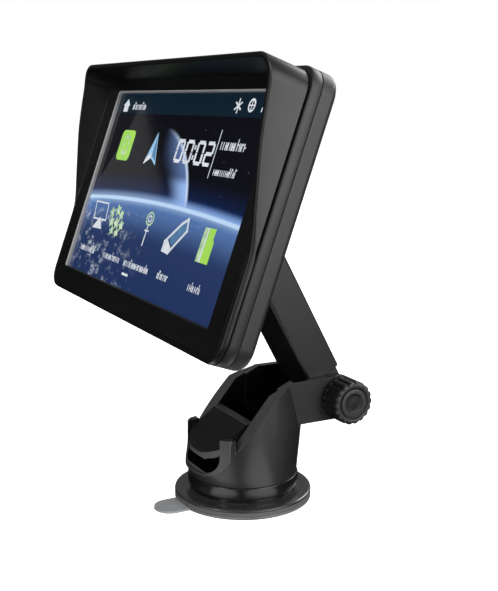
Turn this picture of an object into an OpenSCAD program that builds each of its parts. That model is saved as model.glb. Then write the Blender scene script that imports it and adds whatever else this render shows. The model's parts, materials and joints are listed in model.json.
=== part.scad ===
// Portable in-car navigator: a seven inch screen module with a fixed sun hood, on a
// hinged telescopic arm and a lever-locked suction base.
// Origin: centre of the suction face. +Z up, the screen looks towards -Y, the knob is on +X.

/* [Screen module] */
// Width of the case, side to side
case_w = 183.2; // [170:0.1:200]
// Height of the case, bottom edge to top edge
case_h = 108.6; // [104:0.1:125]
// Width of the opening over the picture
window_w = 155; // [140:0.5:158]
// Height of the opening over the picture
window_h = 87; // [78:0.5:90]
// How far the middle of the window sits above the middle of the case
window_rise = 0.8; // [0:0.1:2]
// Depth from the window's front plane to the glass
glass_recess = 1.8; // [1:0.1:2.5]
// Thickness of the touch glass
glass_t = 1.1; // [0.7:0.1:1.4]
// Thickness of the display panel
panel_t = 3.2; // [2:0.1:3.4]
// Depth of the case edge behind the window's front plane
edge_depth = 14; // [13:0.5:20]
// Depth of the raised middle of the rear cover behind the window's front plane
hump_depth = 18; // [17:0.5:24]
// Wall of the three case mouldings
case_wall = 2.2; // [1.6:0.1:3]
// Corner radius of the case, seen from the front
case_r = 9; // [6:0.5:12]
// How far the sun hood stands out at its top edge
hood_reach = 16; // [8:0.5:24]
// How far the hood's top edge sits in from the case top
hood_inset = 2; // [1:0.1:4]
// Groove between the front moulding and the middle frame
shadow_gap = 1; // [0.4:0.1:1.5]
// Lean of the screen back from upright
screen_tilt = 19.7; // [5:0.1:30]
// Distance of the window's middle in front of the base centre
screen_y = -41.5; // [-48:0.5:-38]
// Height of the window's middle above the suction face
screen_z = 140.6; // [138:0.1:150]

/* [Ball joint] */
// Radius of the ball
ball_r = 8.5; // [7:0.1:9]
// Distance of the ball centre behind the window's front plane
ball_back = 32; // [32:0.5:38]
// Height of the ball centre relative to the window's middle
ball_rise = -5; // [-12:0.5:0]
// Radius of the stud's neck
neck_r = 3.4; // [2.6:0.1:3.8]
// Outer radius of the clamp nut
nut_r = 15.5; // [14.8:0.1:18]

/* [Arm] */
// Lean of the arm towards the screen, from upright
arm_lean = 29; // [27:0.5:31]
// Width of the arm tube, across the knob axis
arm_w = 27.6; // [24:0.1:30]
// Thickness of the arm tube
arm_t = 17; // [14:0.1:20]
// Wall of the arm tube
arm_wall = 2; // [1.6:0.1:2.6]
// Distance from the hinge to the tube's lower end
arm_start = 11.2; // [11:0.1:14]
// Distance from the hinge to the tube's upper end
arm_end = 76; // [70:0.5:77]
// Travel of the telescopic extension
arm_travel = 40; // [20:1:45]

/* [Hinge] */
// Distance of the hinge axis behind the base centre
hinge_y = 40.5; // [38:0.5:44]
// Height of the hinge axis
hinge_z = 45.2; // [44:0.1:48]
// Radius of the ears around the hinge
ear_r = 10; // [8.5:0.1:11]
// Thickness of each ear
ear_t = 3.7; // [3:0.1:5]
// Radius of the hinge bolt
bolt_r = 2.5; // [2:0.1:3]
// Radius of the hand knob
knob_r = 10; // [8:0.1:12]
// Length of the hand knob
knob_l = 11.3; // [8:0.1:15]
// Number of grips around the hand knob
knob_grips = 18; // [10:1:24]

/* [Base] */
// Radius of the suction cup
cup_r = 31.2; // [30:0.1:36]
// Thickness of the gel layer
gel_t = 1.2; // [0.8:0.1:2]
// Height of the suction cup's rim
cup_rim = 4.5; // [3.3:0.1:5]
// Radius of the pull tab
tab_r = 7.2; // [5:0.1:9]
// How far the pull tab reaches past the cup's rim
tab_reach = 12.5; // [9:0.5:18]
// Radius of the glossy ring under the base
ring_r = 25.2; // [24.8:0.1:28]
// Height of the base's lower edge
base_z = 12; // [11:0.5:14]
// Radius of the base at its lower edge
base_r = 24.5; // [23:0.1:24.6]
// Radius of the base at its top
base_top_r = 22.4; // [21:0.1:24]
// Half the width of the bay that holds the lever
bay_half = 16; // [14.5:0.1:17]
// Slope of the cheeks' front edges
cut_slope = 50; // [42:0.5:56]
// Height of the lever's pivot
pivot_z = 30; // [29:0.5:32]
// Radius of the lever's pin
pin_r = 2; // [1.5:0.1:2.4]
// Radius of the suction stem
stem_r = 3.4; // [3:0.1:3.6]

/* [Clearances] */
// Radial gap of a turning fit
run_gap = 0.05; // [0.02:0.01:0.1]
// Gap on each side of the sliding extension
slide_gap = 0.2; // [0.1:0.05:0.4]
// Gap between pieces that pass each other
pass_gap = 0.4; // [0.3:0.05:0.8]

/* [Hidden] */
$fn = 64;

// Screen module, in its own axes: x across, y up the screen, z out of the screen
case_mid = -window_rise;
gap_front = -1.7;
frame_front = gap_front - shadow_gap;
frame_back = -7;
glass_front = -glass_recess;
glass_back = glass_front - glass_t;
gasket_t = 0.3;
panel_back = glass_back - gasket_t - panel_t;
tray_t = 1.2;
tray_back = panel_back - tray_t;
board_t = 1.2;
standoff_h = 3;
board_front = tray_back - standoff_h;
board_back = board_front - board_t;
spigot_back = frame_front - 1.7;
glass_w = window_w + 11;
glass_h = window_h + 10;
board_w = 112;
board_h = 62;
hump_w = 128;
hump_h = 74;
cover_back_t = 1.8;
post_r = 3;
screw_r = 1.2;
screw_head_r = 2.2;
port_z = frame_back - 2.9;
card_z = board_front + 1;
power_z = board_front + 1.3;
tongue_gap = 2.4;
usb_at = -22;
aux_at = -8;
camera_at = 4;
card_at = 17;
power_at = 33;
jack_r = 1.8;
jack_out_r = 2.2;
jack_l = 12;
usb_r = 1.6;
usb_half = 2.9;
usb_l = 8.6;
cap_flange_t = 0.8;
power_travel = 0.6;
speaker_x = -38;
speaker_y = -12;
speaker_r = 12;

// Ball joint, along the stud axis
seat_gap = 0.08;
seat_in_r = ball_r + seat_gap;
seat_out_r = seat_in_r + 1.4;
socket_in_r = seat_out_r + seat_gap;
socket_out_r = socket_in_r + 2.6;
plate_w = 46;
plate_h = 34;
plate_t = 3;
plate_boss_r = 7;
plate_boss_h = 0.8;
stud_flange_r = 5;

// Arm and hinge
gap_half = arm_w / 2 + pass_gap + 0.1;
ear_out = gap_half + ear_t;
washer_t = 1.1;
tongue_half = gap_half - washer_t - 0.05;
barrel_r = 8.6;
ext_w = arm_w - 2 * arm_wall - 2 * slide_gap;
ext_t = arm_t - 2 * arm_wall - 2 * slide_gap;
ext_wall = 1.6;
pad_w = 6;
pad_l = 10;
ext_start = arm_end - arm_travel - 17;
head_gap = 0.3;
nut_flat_r = 4.6;
nut_t = 4;
boss_t = 3.4;

// Base
ear_bottom = hinge_z - ear_r;
ear_top = hinge_z + ear_r;
deck_z = 18.5;
cam_pad_z = pivot_z - 7.4;
bulge_z = [17, 30];
bulge_y = -1.9;
bulge_r = base_r - 0.2;
hip_z = 34.5;
hip_y = 3;
hip_r = base_r - 0.6;
neck_turn = 23;
bay_back = 9;
cut_z = 45;
crown_slope = 24;
crown_y = 7;
notch_r = 8;
notch_half = bay_half;
rim_w = 4.6;
rim_top = 33.5;
notch_z = 17;
channel_floor = 2.4;
ring_neck_r = 23.4;
ring_neck_z = 6.6;
foot_r = 12;
foot_t = 1.2;
foot_z = cup_rim - 0.3;
cup_top = 4.6 - gel_t;

function steps(n) = [for (i = [0 : n - 1]) i];

module on_screen() {
  translate([0, screen_y, screen_z]) rotate([90 - screen_tilt, 0, 0]) children();
}

module on_ball() {
  on_screen() translate([0, ball_rise, -ball_back]) children();
}

module on_arm() {
  translate([0, hinge_y, hinge_z]) rotate([arm_lean, 0, 0]) children();
}

module on_hinge() {
  translate([0, hinge_y, hinge_z]) rotate([0, 90, 0]) children();
}

// Plate with round corners, w by h, centred in x and y, from z0 to z1
module plate(w, h, r, z0, z1) {
  translate([0, 0, z0]) {
    translate([-w / 2 + r, -h / 2, 0]) cube([w - 2 * r, h, z1 - z0]);
    translate([-w / 2, -h / 2 + r, 0]) cube([w, h - 2 * r, z1 - z0]);
    for (x = [-1, 1], y = [-1, 1])
      translate([x * (w / 2 - r), y * (h / 2 - r), 0]) cylinder(h = z1 - z0, r = r);
  }
}

module block(w, d, h) {
  translate([-w / 2, -d / 2, 0]) cube([w, d, h]);
}

// Outline of the case at an inset, moved to the case's middle
module case_plate(inset, z0, z1) {
  translate([0, case_mid, 0])
    plate(case_w - 2 * inset, case_h - 2 * inset, max(case_r - inset, 1), z0, z1);
}

// Middles of the four screw posts, in the strips beside the display
module post_places() {
  for (x = [-1, 1], y = [-1, 1])
    translate([x * (case_w / 2 - case_wall - post_r - 0.7), case_mid + y * (case_h / 2 - 10.3), 0])
      children();
}

module board_places() {
  for (x = [-1, 1], y = [-1, 1])
    translate([x * (board_w / 2 - 4), y * (board_h / 2 - 4), 0]) children();
}

// Side view of the hood, from its foot on the case to its top lip
module hood_side() {
  top = case_mid + case_h / 2;
  bottom = case_mid - case_h / 2;
  polygon([[bottom, gap_front], [bottom, -1.2], [bottom + 1.2, 0], [-15, 0], [-11, 0.8], [0, 3.8], [21, 9.5],
           [43.5, hood_reach - 2.6], [top - hood_inset - 1, hood_reach],
           [top, hood_reach], [top, gap_front]]);
}

module hood_bezel() color("#1b1c1e") on_screen() difference() {
  union() {
    difference() {
      translate([0, -hood_inset / 2, 0]) translate([0, case_mid, 0])
        plate(case_w, case_h - hood_inset, case_r, gap_front, hood_reach);
      translate([0, -hood_inset / 2, 0]) translate([0, case_mid, 0])
        plate(case_w - 2 * case_wall, case_h - hood_inset - 2 * case_wall,
              case_r - case_wall, 0, hood_reach + 1);
      // everything in front of the hood's side line
      rotate([90, 0, 90]) translate([0, 0, -case_w / 2 - 1]) linear_extrude(case_w + 2)
        difference() {
          translate([-case_h, 0]) square([2 * case_h, 2 * hood_reach]);
          hood_side();
        }
    }
    // flange that holds the glass, and its spigot inside the middle frame
    case_plate(case_wall + 0.15, spigot_back, 0);
  }
  plate(window_w, window_h, 1, spigot_back - 1, 1);
  plate(glass_w + 0.6, glass_h + 0.6, 1.5, spigot_back - 1, glass_front);
  post_places() translate([0, 0, spigot_back - 1]) cylinder(h = 3.4, r = screw_r);
}

module middle_frame() color("#2a2b2e") on_screen() difference() {
  case_plate(0, frame_back, frame_front);
  case_plate(case_wall, frame_back - 1, frame_front + 1);
}

module rear_cover() color("#232427") on_screen() difference() {
  union() {
    difference() {
      union() {
        case_plate(0, frame_back - 4.5, frame_back);
        hull() {
          case_plate(0.02, frame_back - 4.5, frame_back - 4.4);
          case_plate(1, -edge_depth + 1, -edge_depth + 1.1);
          case_plate(2.6, -edge_depth, -edge_depth + 0.1);
        }
        hull() {
          plate(hump_w, hump_h, 8, -edge_depth, -edge_depth + 0.1);
          plate(hump_w - 6, hump_h - 6, 6, -hump_depth, -hump_depth + 0.1);
        }
      }
      case_plate(case_wall, -edge_depth + cover_back_t, frame_back + 1);
      plate(hump_w - 10, hump_h - 10, 4, -hump_depth + cover_back_t, frame_back);
    }
    post_places() translate([0, 0, -edge_depth + 1])
      cylinder(h = edge_depth - 1 + spigot_back, r = post_r);
  }
  post_places() translate([0, 0, -edge_depth - 1]) {
    cylinder(h = edge_depth, r = screw_r + 0.1);
    cylinder(h = 3.2, r = screw_head_r + 0.2);
  }
  side_ports(case_wall + 1, 0.25);
  translate([-case_w / 2 - 1, power_at - 4.7, power_z - 1.8]) cube([case_wall + 2, 9.4, 3.6]);
  ball_plate_screws() cylinder(h = 8, r = screw_r, center = true);
  speaker_slots();
}

// Slots in front of the speaker
module speaker_slots() {
  pitch = 3;
  for (i = [-3 : 3]) {
    half = sqrt(speaker_r * speaker_r - pow(i * pitch, 2)) - 1.5;
    translate([speaker_x + i * pitch - 0.6, speaker_y - half, -hump_depth - 1])
      cube([1.2, 2 * half, 4]);
  }
}

// Openings for the sockets in the left wall
module side_ports(depth, gap) {
  translate([-case_w / 2 - 1, 0, port_z]) rotate([0, 90, 0]) {
    usb_hole(usb_r + gap, depth);
    for (y = [aux_at, camera_at]) translate([0, y, 0]) cylinder(h = depth, r = jack_out_r + gap);
  }
  translate([-case_w / 2 - 1, card_at - 6 - gap, card_z - 0.6 - gap])
    cube([depth, 12 + 2 * gap, 1.2 + 2 * gap]);
}

module usb_hole(r, h) {
  translate([0, usb_at, 0]) {
    for (s = [-1, 1]) translate([0, s * usb_half, 0]) cylinder(h = h, r = r);
    translate([-r, -usb_half, 0]) cube([2 * r, 2 * usb_half, h]);
  }
}

module ball_plate_screws() {
  translate([0, ball_rise, -hump_depth])
    for (x = [-1, 1], y = [-1, 1])
      translate([x * (plate_w / 2 - 5), y * (plate_h / 2 - 5), 0]) children();
}

module touch_glass() color("#101418") on_screen()
  plate(glass_w, glass_h, 1.5, glass_back, glass_front);

module glass_gasket() color("#0c0c0c") on_screen() difference() {
  plate(glass_w, glass_h, 1.5, glass_back - gasket_t, glass_back);
  plate(window_w + 4, window_h + 3, 1, glass_back - 1, glass_back + 1);
}

module lcd_panel() color("#20242c") on_screen()
  plate(window_w + 8, window_h + 8, 0.8, panel_back, glass_back - gasket_t);

module backlight_tray() color("#b9bcc0") on_screen() difference() {
  union() {
    plate(window_w + 9, window_h + 9, 1, tray_back, panel_back);
    board_places() translate([0, 0, board_front]) cylinder(h = standoff_h + 0.5, r = 2.6);
  }
  board_places() translate([0, 0, board_front - 1]) cylinder(h = 4, r = screw_r);
}

module main_board() color("#1e5a3a") on_screen() difference() {
  union() {
    plate(board_w, board_h, 2, board_back, board_front);
    // tongue that carries the side sockets
    translate([-case_w / 2 + case_wall + tongue_gap, usb_at - 8, board_back])
      cube([case_w / 2 - board_w / 2 - case_wall, 68, board_t]);
  }
  board_places() translate([0, 0, board_back - 1]) cylinder(h = board_t + 2, r = screw_r + 0.2);
  // cut-outs that the sunk sockets sit in
  translate([-case_w / 2, usb_at - usb_half - usb_r - 0.1, board_back - 1])
    cube([usb_l + 0.4, 2 * (usb_half + usb_r + 0.1), board_t + 2]);
  for (y = [aux_at, camera_at])
    translate([-case_w / 2, y - jack_out_r - 0.1, board_back - 1])
      cube([jack_l + 1.8, 2 * jack_out_r + 0.2, board_t + 2]);
}

module board_screws() color("#3c3c3e") on_screen() board_places() {
  translate([0, 0, board_back]) cylinder(h = 3.6, r = screw_r);
  translate([0, 0, board_back - 1.2]) cylinder(h = 1.2, r = screw_head_r);
}

module rf_shield() color("#c4c6c8") on_screen() difference() {
  translate([12, 4, 0]) plate(44, 34, 1, board_back - 2.6, board_back);
  translate([12, 4, 0]) plate(43.2, 33.2, 0.8, board_back - 2.2, board_back + 1);
}

module speaker() color("#3a3a3a") on_screen() translate([speaker_x, speaker_y, 0]) {
  difference() {
    translate([0, 0, board_back - 3.9]) cylinder(h = 3.9, r = speaker_r);
    translate([0, 0, board_back - 4.9]) cylinder(h = 3, r = 9.5);
  }
  translate([0, 0, board_back - 3.4]) cylinder(h = 1.6, r = 4);
}

module gnss_antenna() color("#d8d2c4") on_screen()
  translate([45, 12, 0]) plate(18, 18, 1, board_back - 3.8, board_back);

module wifi_antenna() color("#8a6a2a") on_screen()
  translate([0, case_mid + case_h / 2 - case_wall - 0.15, frame_back - 3]) block(46, 0.3, 5);

module microphone() color("#b0a98f") on_screen()
  translate([44, -24, board_back - 1.5]) cylinder(h = 1.5, r = 2.2);

// Round socket for a plug: its mouth is flush with the case's left wall
module jack(y) {
  on_screen() translate([-case_w / 2 + 0.2, y, port_z]) rotate([0, 90, 0]) difference() {
    cylinder(h = jack_l + 1.2, r = jack_out_r);
    translate([0, 0, -1]) cylinder(h = jack_l + 1, r = jack_r);
  }
}

module aux_socket() color("#111111") jack(aux_at);

module camera_socket() color("#111111") jack(camera_at);

module usb_socket() color("#c9ccd0") on_screen()
  translate([-case_w / 2 + 0.3, 0, port_z]) rotate([0, 90, 0]) difference() {
    usb_hole(usb_r, usb_l);
    translate([0, 0, -1]) usb_hole(usb_r - 0.3, usb_l);
  }

module card_socket() color("#c9ccd0") on_screen()
  translate([-case_w / 2 + case_wall + 0.2, card_at - 7, board_front]) difference() {
    cube([15, 14, 2]);
    translate([-1, 1.4, 0.5]) cube([13.5, 11.2, 1]);
  }

module power_switch() color("#9a9ca0") on_screen()
  translate([-case_w / 2 + case_wall + 0.1 + cap_flange_t + power_travel + 0.2, power_at, board_front]) {
    translate([1, -3, 0]) cube([4, 6, 2.6]);
    translate([0, -1, 0.6]) cube([1.1, 2, 1.4]);
  }

module power_button() color("#2c2d30") on_screen()
  translate([-case_w / 2 - 0.5, power_at, power_z]) {
    translate([0, -4.4, -1.5]) cube([case_wall + 0.7, 8.8, 3]);
    // flange that keeps the cap in the wall
    translate([case_wall + 0.6, -5.6, -2.1]) cube([cap_flange_t, 11.2, 4.2]);
  }

module case_screws() color("#3c3c3e") on_screen() post_places() {
  translate([0, 0, -edge_depth + 2.2]) cylinder(h = edge_depth - 4.2, r = screw_r);
  translate([0, 0, -edge_depth + 0.7]) cylinder(h = 1.5, r = screw_head_r);
}

module mount_plate() color("#1f2022") on_screen() difference() {
  boss_z = -hump_depth - plate_t - plate_boss_h;
  translate([0, ball_rise, 0]) union() {
    plate(plate_w, plate_h, 5, -hump_depth - plate_t, -hump_depth);
    translate([0, 0, boss_z]) cylinder(h = plate_boss_h + 1, r = plate_boss_r);
  }
  ball_plate_screws() translate([0, 0, -plate_t - 1]) {
    cylinder(h = plate_t + 2, r = screw_r);
    cylinder(h = 2.4, r = screw_head_r + 0.2);
  }
  // bearing for the stud's neck, and the pocket for its flange
  translate([0, ball_rise, boss_z - 1]) cylinder(h = 6, r = neck_r + run_gap);
  translate([0, ball_rise, -hump_depth - 1.6]) cylinder(h = 2, r = stud_flange_r + run_gap);
}

module plate_screws() color("#8f9194") on_screen() ball_plate_screws() {
  translate([0, 0, -plate_t]) cylinder(h = plate_t + 3, r = screw_r);
  translate([0, 0, -plate_t]) cylinder(h = 1.3, r = screw_head_r);
}

module ball_stud() color("#17181a") on_ball() {
  tip = ball_back - hump_depth - 0.05;
  difference() {
    union() {
      sphere(r = ball_r);
      cylinder(h = tip, r = neck_r);
      translate([0, 0, tip - 1.5]) cylinder(h = 1.5, r = stud_flange_r);
    }
    translate([0, 0, -ball_r - 1]) cylinder(h = 2.4, r = 3);
  }
}

module ball_seat() color("#c8c4b8") on_ball() difference() {
  sphere(r = seat_out_r);
  sphere(r = seat_in_r);
  translate([0, 0, -1]) cylinder(h = 2 * seat_out_r, r = 2 * seat_out_r);
  translate([0, 0, -2 * seat_out_r]) cylinder(h = 2 * seat_out_r, r = 4.6);
}

module clamp_nut() color("#1a1b1d") on_ball() difference() {
  union() {
    translate([0, 0, -7]) cylinder(h = 11, r = nut_r);
    translate([0, 0, 4]) cylinder(h = 1.2, r1 = nut_r, r2 = nut_r - 1.2);
  }
  translate([0, 0, -8]) cylinder(h = 11, r = socket_out_r + run_gap);
  sphere(r = ball_r + 0.5);
  cylinder(h = 7, r = 7.6);
  for (i = steps(16)) rotate([0, 0, i * 22.5])
    translate([nut_r + 0.7, 0, -8]) cylinder(h = 14, r = 1.5);
}

module arm_extension() color("#1d1e20") difference() {
  union() {
    on_arm() translate([0, 0, ext_start]) block(ext_w, ext_t, arm_end - ext_start + 1);
    on_arm() translate([0, 0, arm_end + head_gap]) block(arm_w - 0.6, arm_t - 0.6, 7);
    on_arm() translate([0, 0, arm_end + head_gap + 7]) rotate([0, 90, 0])
      cylinder(h = arm_w - 6, r = 6.2, center = true);
    on_ball() translate([0, 0, -19]) cylinder(h = 9, r = 8.6);
    on_ball() translate([0, 0, -12.5]) cylinder(h = 14, r = socket_out_r);
  }
  on_arm() translate([0, 0, ext_start - 1])
    block(ext_w - 2 * ext_wall, ext_t - 2 * ext_wall, arm_end - ext_start - 3);
  // windows for the slide pads
  on_arm() translate([0, 0, ext_start + 3]) block(ext_w + 2, pad_w + 0.2, pad_l + 0.2);
  // detents along the rear face
  on_arm() for (i = steps(6)) translate([0, ext_t / 2, arm_end - 8 - i * 8])
    rotate([0, 90, 0]) cylinder(h = 8, r = 0.9, center = true);
  on_ball() sphere(r = socket_in_r);
  on_ball() cylinder(h = 20, r = socket_in_r - 0.2);
}

module arm_tube() color("#26272a") on_arm() difference() {
  union() {
    translate([0, 0, arm_start]) block(arm_w, arm_t, arm_end - arm_start);
    translate([0, 0, 0]) rotate([0, 90, 0])
      cylinder(h = 2 * tongue_half, r = barrel_r, center = true);
    translate([-tongue_half, -barrel_r + 1.6, 0]) cube([2 * tongue_half, 2 * barrel_r - 3.2, arm_start + 1]);
  }
  translate([0, 0, arm_start + 5])
    block(arm_w - 2 * arm_wall, arm_t - 2 * arm_wall, arm_end - arm_start);
  rotate([0, 90, 0]) cylinder(h = 2 * arm_w, r = bolt_r + run_gap, center = true);
  // window for the detent spring
  translate([-4.2, arm_t / 2 - arm_wall - 1, arm_end - 10.5]) cube([8.4, 2.3, 8]);
}

module slide_pads() color("#d9d6cc") on_arm() for (s = [-1, 1])
  translate([s * (ext_w - ext_wall + slide_gap) / 2, 0, ext_start + 3.1])
    block(ext_wall + slide_gap - 0.1, pad_w, pad_l);

module detent_spring() color("#b4b6b8") on_arm()
  translate([-4, arm_t / 2 - arm_wall + 0.25, arm_end - 10.3]) cube([8, 0.5, 7.6]);

module hinge_washers() color("#9fa1a4") on_hinge() for (s = [-1, 1])
  translate([0, 0, s * (tongue_half + 0.02 + washer_t / 2)]) difference() {
    cylinder(h = washer_t - 0.02, r = 7, center = true);
    cylinder(h = washer_t + 1, r = bolt_r + run_gap, center = true);
  }

module hinge_knob() color("#0e0e10") on_hinge() translate([0, 0, ear_out + 0.3]) difference() {
  union() {
    cylinder(h = knob_l - 1, r = knob_r);
    translate([0, 0, knob_l - 1]) cylinder(h = 1, r1 = knob_r, r2 = knob_r - 1);
  }
  for (i = steps(knob_grips)) rotate([0, 0, i * 360 / knob_grips])
    translate([knob_r + 0.5, 0, 1.6]) cylinder(h = knob_l, r = 0.95);
  translate([0, 0, knob_l - 0.7]) difference() {
    cylinder(h = 2, r = knob_r - 2.6);
    cylinder(h = 2, r = knob_r - 3.6);
  }
  translate([0, 0, -1]) cylinder(h = 7, r = bolt_r);
}

module hinge_bolt() color("#a8aaad") on_hinge()
  translate([0, 0, -ear_out - boss_t + 0.6]) cylinder(h = 2 * ear_out + boss_t + 5.4, r = bolt_r);

module hinge_nut() color("#a8aaad") on_hinge()
  translate([0, 0, -ear_out - boss_t + 0.4]) difference() {
    cylinder(h = nut_t, r = nut_flat_r, $fn = 6);
    translate([0, 0, -1]) cylinder(h = nut_t + 2, r = bolt_r + run_gap);
  }

// Plan outline of the neck that carries the two ears, tangent to the round base
module neck_plan() {
  x = base_top_r * cos(neck_turn);
  y = base_top_r * sin(neck_turn);
  ear_y = y + (x - ear_out) / tan(neck_turn);
  polygon([[-x, y], [x, y], [ear_out, ear_y], [ear_out, hinge_y],
           [-ear_out, hinge_y], [-ear_out, ear_y]]);
}

module slice(y, z, r) {
  translate([0, y, z]) cylinder(h = 0.1, r = r);
}

module base_body() {
  hull() {
    slice(0, base_z, base_r);
    for (z = bulge_z) slice(bulge_y, z, bulge_r);
    slice(hip_y, hip_z, hip_r);
    slice(0, ear_top, base_top_r);
  }
}

// Half space in front of the cheeks: a steep slope, and an easier one at the top
module cheek_cuts() {
  translate([-40, 0, cut_z]) rotate([cut_slope, 0, 0]) translate([0, -60, 0]) cube([80, 120, 60]);
  translate([-40, crown_y, cut_z + crown_y * tan(cut_slope) - 2]) rotate([crown_slope, 0, 0])
    translate([0, -60, 0]) cube([80, 120, 60]);
}

module base_housing() color("#2e2f32") difference() {
  union() {
    difference() {
      union() {
        base_body();
        translate([0, 0, ear_bottom]) linear_extrude(2 * ear_r) neck_plan();
        on_hinge() cylinder(h = 2 * ear_out, r = ear_r, center = true);
        on_hinge() translate([0, 0, -ear_out - boss_t]) cylinder(h = boss_t + 1, r = 7.6);
      }
      cheek_cuts();
    }
    // two posts that stand up beside the lever's lip
    intersection() {
      base_body();
      for (s = [-1, 1]) translate([s * (notch_half + rim_w / 2), -40, notch_z])
        block(rim_w, 51, rim_top - notch_z);
    }
  }
  // gap between the ears, for the arm
  translate([-gap_half, hinge_y - barrel_r - pass_gap, ear_bottom - 1]) cube([2 * gap_half, 60, 60]);
  translate([-gap_half, 0, ear_bottom + channel_floor]) cube([2 * gap_half, 60, 60]);
  // bay for the lever
  translate([-bay_half, -40, cam_pad_z]) cube([2 * bay_half, 40 + bay_back, 60]);
  // notch under the lever's lip
  translate([0, -40, notch_z + notch_r]) rotate([-90, 0, 0]) {
    for (s = [-1, 1]) translate([s * (notch_half - notch_r), 0, 0]) cylinder(h = 26, r = notch_r);
    translate([-notch_half + notch_r, 0, 0]) cube([2 * (notch_half - notch_r), notch_r, 26]);
    translate([-notch_half, -notch_r, 0]) cube([2 * notch_half, notch_r, 26]);
  }
  // bores
  on_hinge() cylinder(h = 60, r = bolt_r + run_gap, center = true);
  on_hinge() translate([0, 0, -ear_out - boss_t - 1]) cylinder(h = nut_t + 1.4, r = nut_flat_r + 0.05, $fn = 6);
  translate([0, 0, base_z - 1]) cylinder(h = 20, r = stem_r + run_gap);
  translate([0, 0, base_z - 1]) cylinder(h = deck_z - base_z - 1, r = 9);
  ring_screw_places() translate([0, 0, base_z - 1]) cylinder(h = 6, r = screw_r);
}

module ring_screw_places() {
  for (i = steps(3)) rotate([0, 0, 90 + i * 120]) translate([16, 0, 0]) children();
}

module lever_section() {
  // tongue from the pivot to the lip, seen from +X: x is -Y, y is +Z
  polygon([[-4, -2.5], [4, -2.5], [22.2, -7.6], [24.6, -6.4], [24.2, -4.6], [7, 8.4], [3, 8.8], [-1, 4]]);
}

// Front view of the tongue above its lip: round corners and a shallow scallop on each side
module lever_front(half) {
  polygon([[-half, 20], [-half, -2], [-half + 1.2, -4.4], [-half + 3.4, -5.6], [-half + 6, -6.2], [-half + 8.6, -7.6],
           [half - 8.6, -7.6], [half - 6, -6.2], [half - 3.4, -5.6], [half - 1.2, -4.4], [half, -2], [half, 20]]);
}

module suction_lever() color("#232427") translate([0, 0, pivot_z]) difference() {
  half = bay_half - pass_gap;
  cam = 3;
  union() {
    intersection() {
      rotate([90, 0, 90]) mirror([1, 0, 0]) translate([0, 0, -half]) linear_extrude(2 * half) lever_section();
      rotate([90, 0, 0]) translate([0, 0, -20]) linear_extrude(60) lever_front(half);
    }
    rotate([0, 90, 0]) cylinder(h = 2 * half, r = 4.5, center = true);
    translate([0, 0, -cam]) rotate([0, 90, 0]) cylinder(h = 2 * half, r = 3.7, center = true);
  }
  // front corners follow the base's round front
  difference() {
    translate([-40, -40, -20]) cube([80, 36, 50]);
    translate([0, 0, -21]) cylinder(h = 52, r = base_r);
  }
  rotate([0, 90, 0]) cylinder(h = 60, r = pin_r + run_gap, center = true);
  // slot for the stem
  translate([-stem_r - 0.6, -6.4, -15]) cube([2 * stem_r + 1.2, 18.4, 21.5]);
  // finger dish
  translate([0, -30, 34]) rotate([-44, 0, 0]) translate([0, 0, -20]) cylinder(h = 50, r = 27.5);
  // hollow underside
  translate([-half + 2.4, -18, -12]) cube([2 * half - 4.8, 11, 10.4]);
}

module lever_pin() color("#b0b2b5") translate([0, 0, pivot_z]) rotate([0, 90, 0])
  cylinder(h = 2 * (bay_half - pass_gap) - 2, r = pin_r, center = true);

module suction_stem() color("#a8aaad") difference() {
  union() {
    translate([0, 0, foot_z]) cylinder(h = foot_t, r = foot_r);
    translate([0, 0, foot_z]) cylinder(h = pivot_z + 4 - foot_z, r = stem_r);
  }
  translate([0, 0, pivot_z]) rotate([0, 90, 0]) cylinder(h = 20, r = pin_r, center = true);
}

module return_spring() color("#b4b6b8") {
  bottom = foot_z + foot_t + 0.1;
  top = deck_z - 2.2;
  turns = 5;
  wire = 0.6;
  for (i = steps(turns)) translate([0, 0, bottom + wire + i * (top - bottom - 2 * wire) / (turns - 1)])
    rotate_extrude() translate([6.2, 0]) circle(r = wire, $fn = 16);
}

module base_ring() color("#0b0b0c") difference() {
  union() {
    translate([0, 0, ring_neck_z]) cylinder(h = base_z - ring_neck_z, r = ring_r);
    translate([0, 0, cup_rim]) cylinder(h = ring_neck_z - cup_rim + 1, r = ring_neck_r);
  }
  translate([0, 0, cup_rim - 1]) cylinder(h = ring_neck_z - cup_rim + 1.3, r = 19.5);
  translate([0, 0, cup_rim - 1]) cylinder(h = 20, r = 13);
  ring_screw_places() cylinder(h = 30, r = screw_r);
  ring_screw_places() cylinder(h = ring_neck_z + 2, r = screw_head_r + 0.2);
}

module ring_screws() color("#3c3c3e") ring_screw_places() {
  translate([0, 0, ring_neck_z + 1]) cylinder(h = 8, r = screw_r);
  translate([0, 0, ring_neck_z + 0.4]) cylinder(h = 1.4, r = screw_head_r);
}

module suction_cup() color("#202124") difference() {
  union() {
    translate([0, 0, gel_t]) rotate_extrude($fn = 128)
      polygon([[0, 0], [cup_r, 0], [cup_r, cup_rim - gel_t - 0.5], [cup_r - 0.5, cup_rim - gel_t],
               [17, cup_rim - gel_t], [14.5, cup_top], [0, cup_top]]);
  }
  // pocket for the stem's foot
  translate([0, 0, foot_z - run_gap]) cylinder(h = 10, r = foot_r + run_gap);
}

module gel_pad() color("#6f7275", 0.8) {
  cylinder(h = gel_t, r = cup_r, $fn = 128);
  difference() {
    union() {
      translate([-tab_r, -cup_r - tab_reach + tab_r, 0]) cube([2 * tab_r, tab_reach, gel_t]);
      translate([0, -cup_r - tab_reach + tab_r, 0]) cylinder(h = gel_t, r = tab_r);
    }
    translate([0, 0, -1]) cylinder(h = gel_t + 2, r = cup_r - 0.5, $fn = 128);
  }
}

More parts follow.
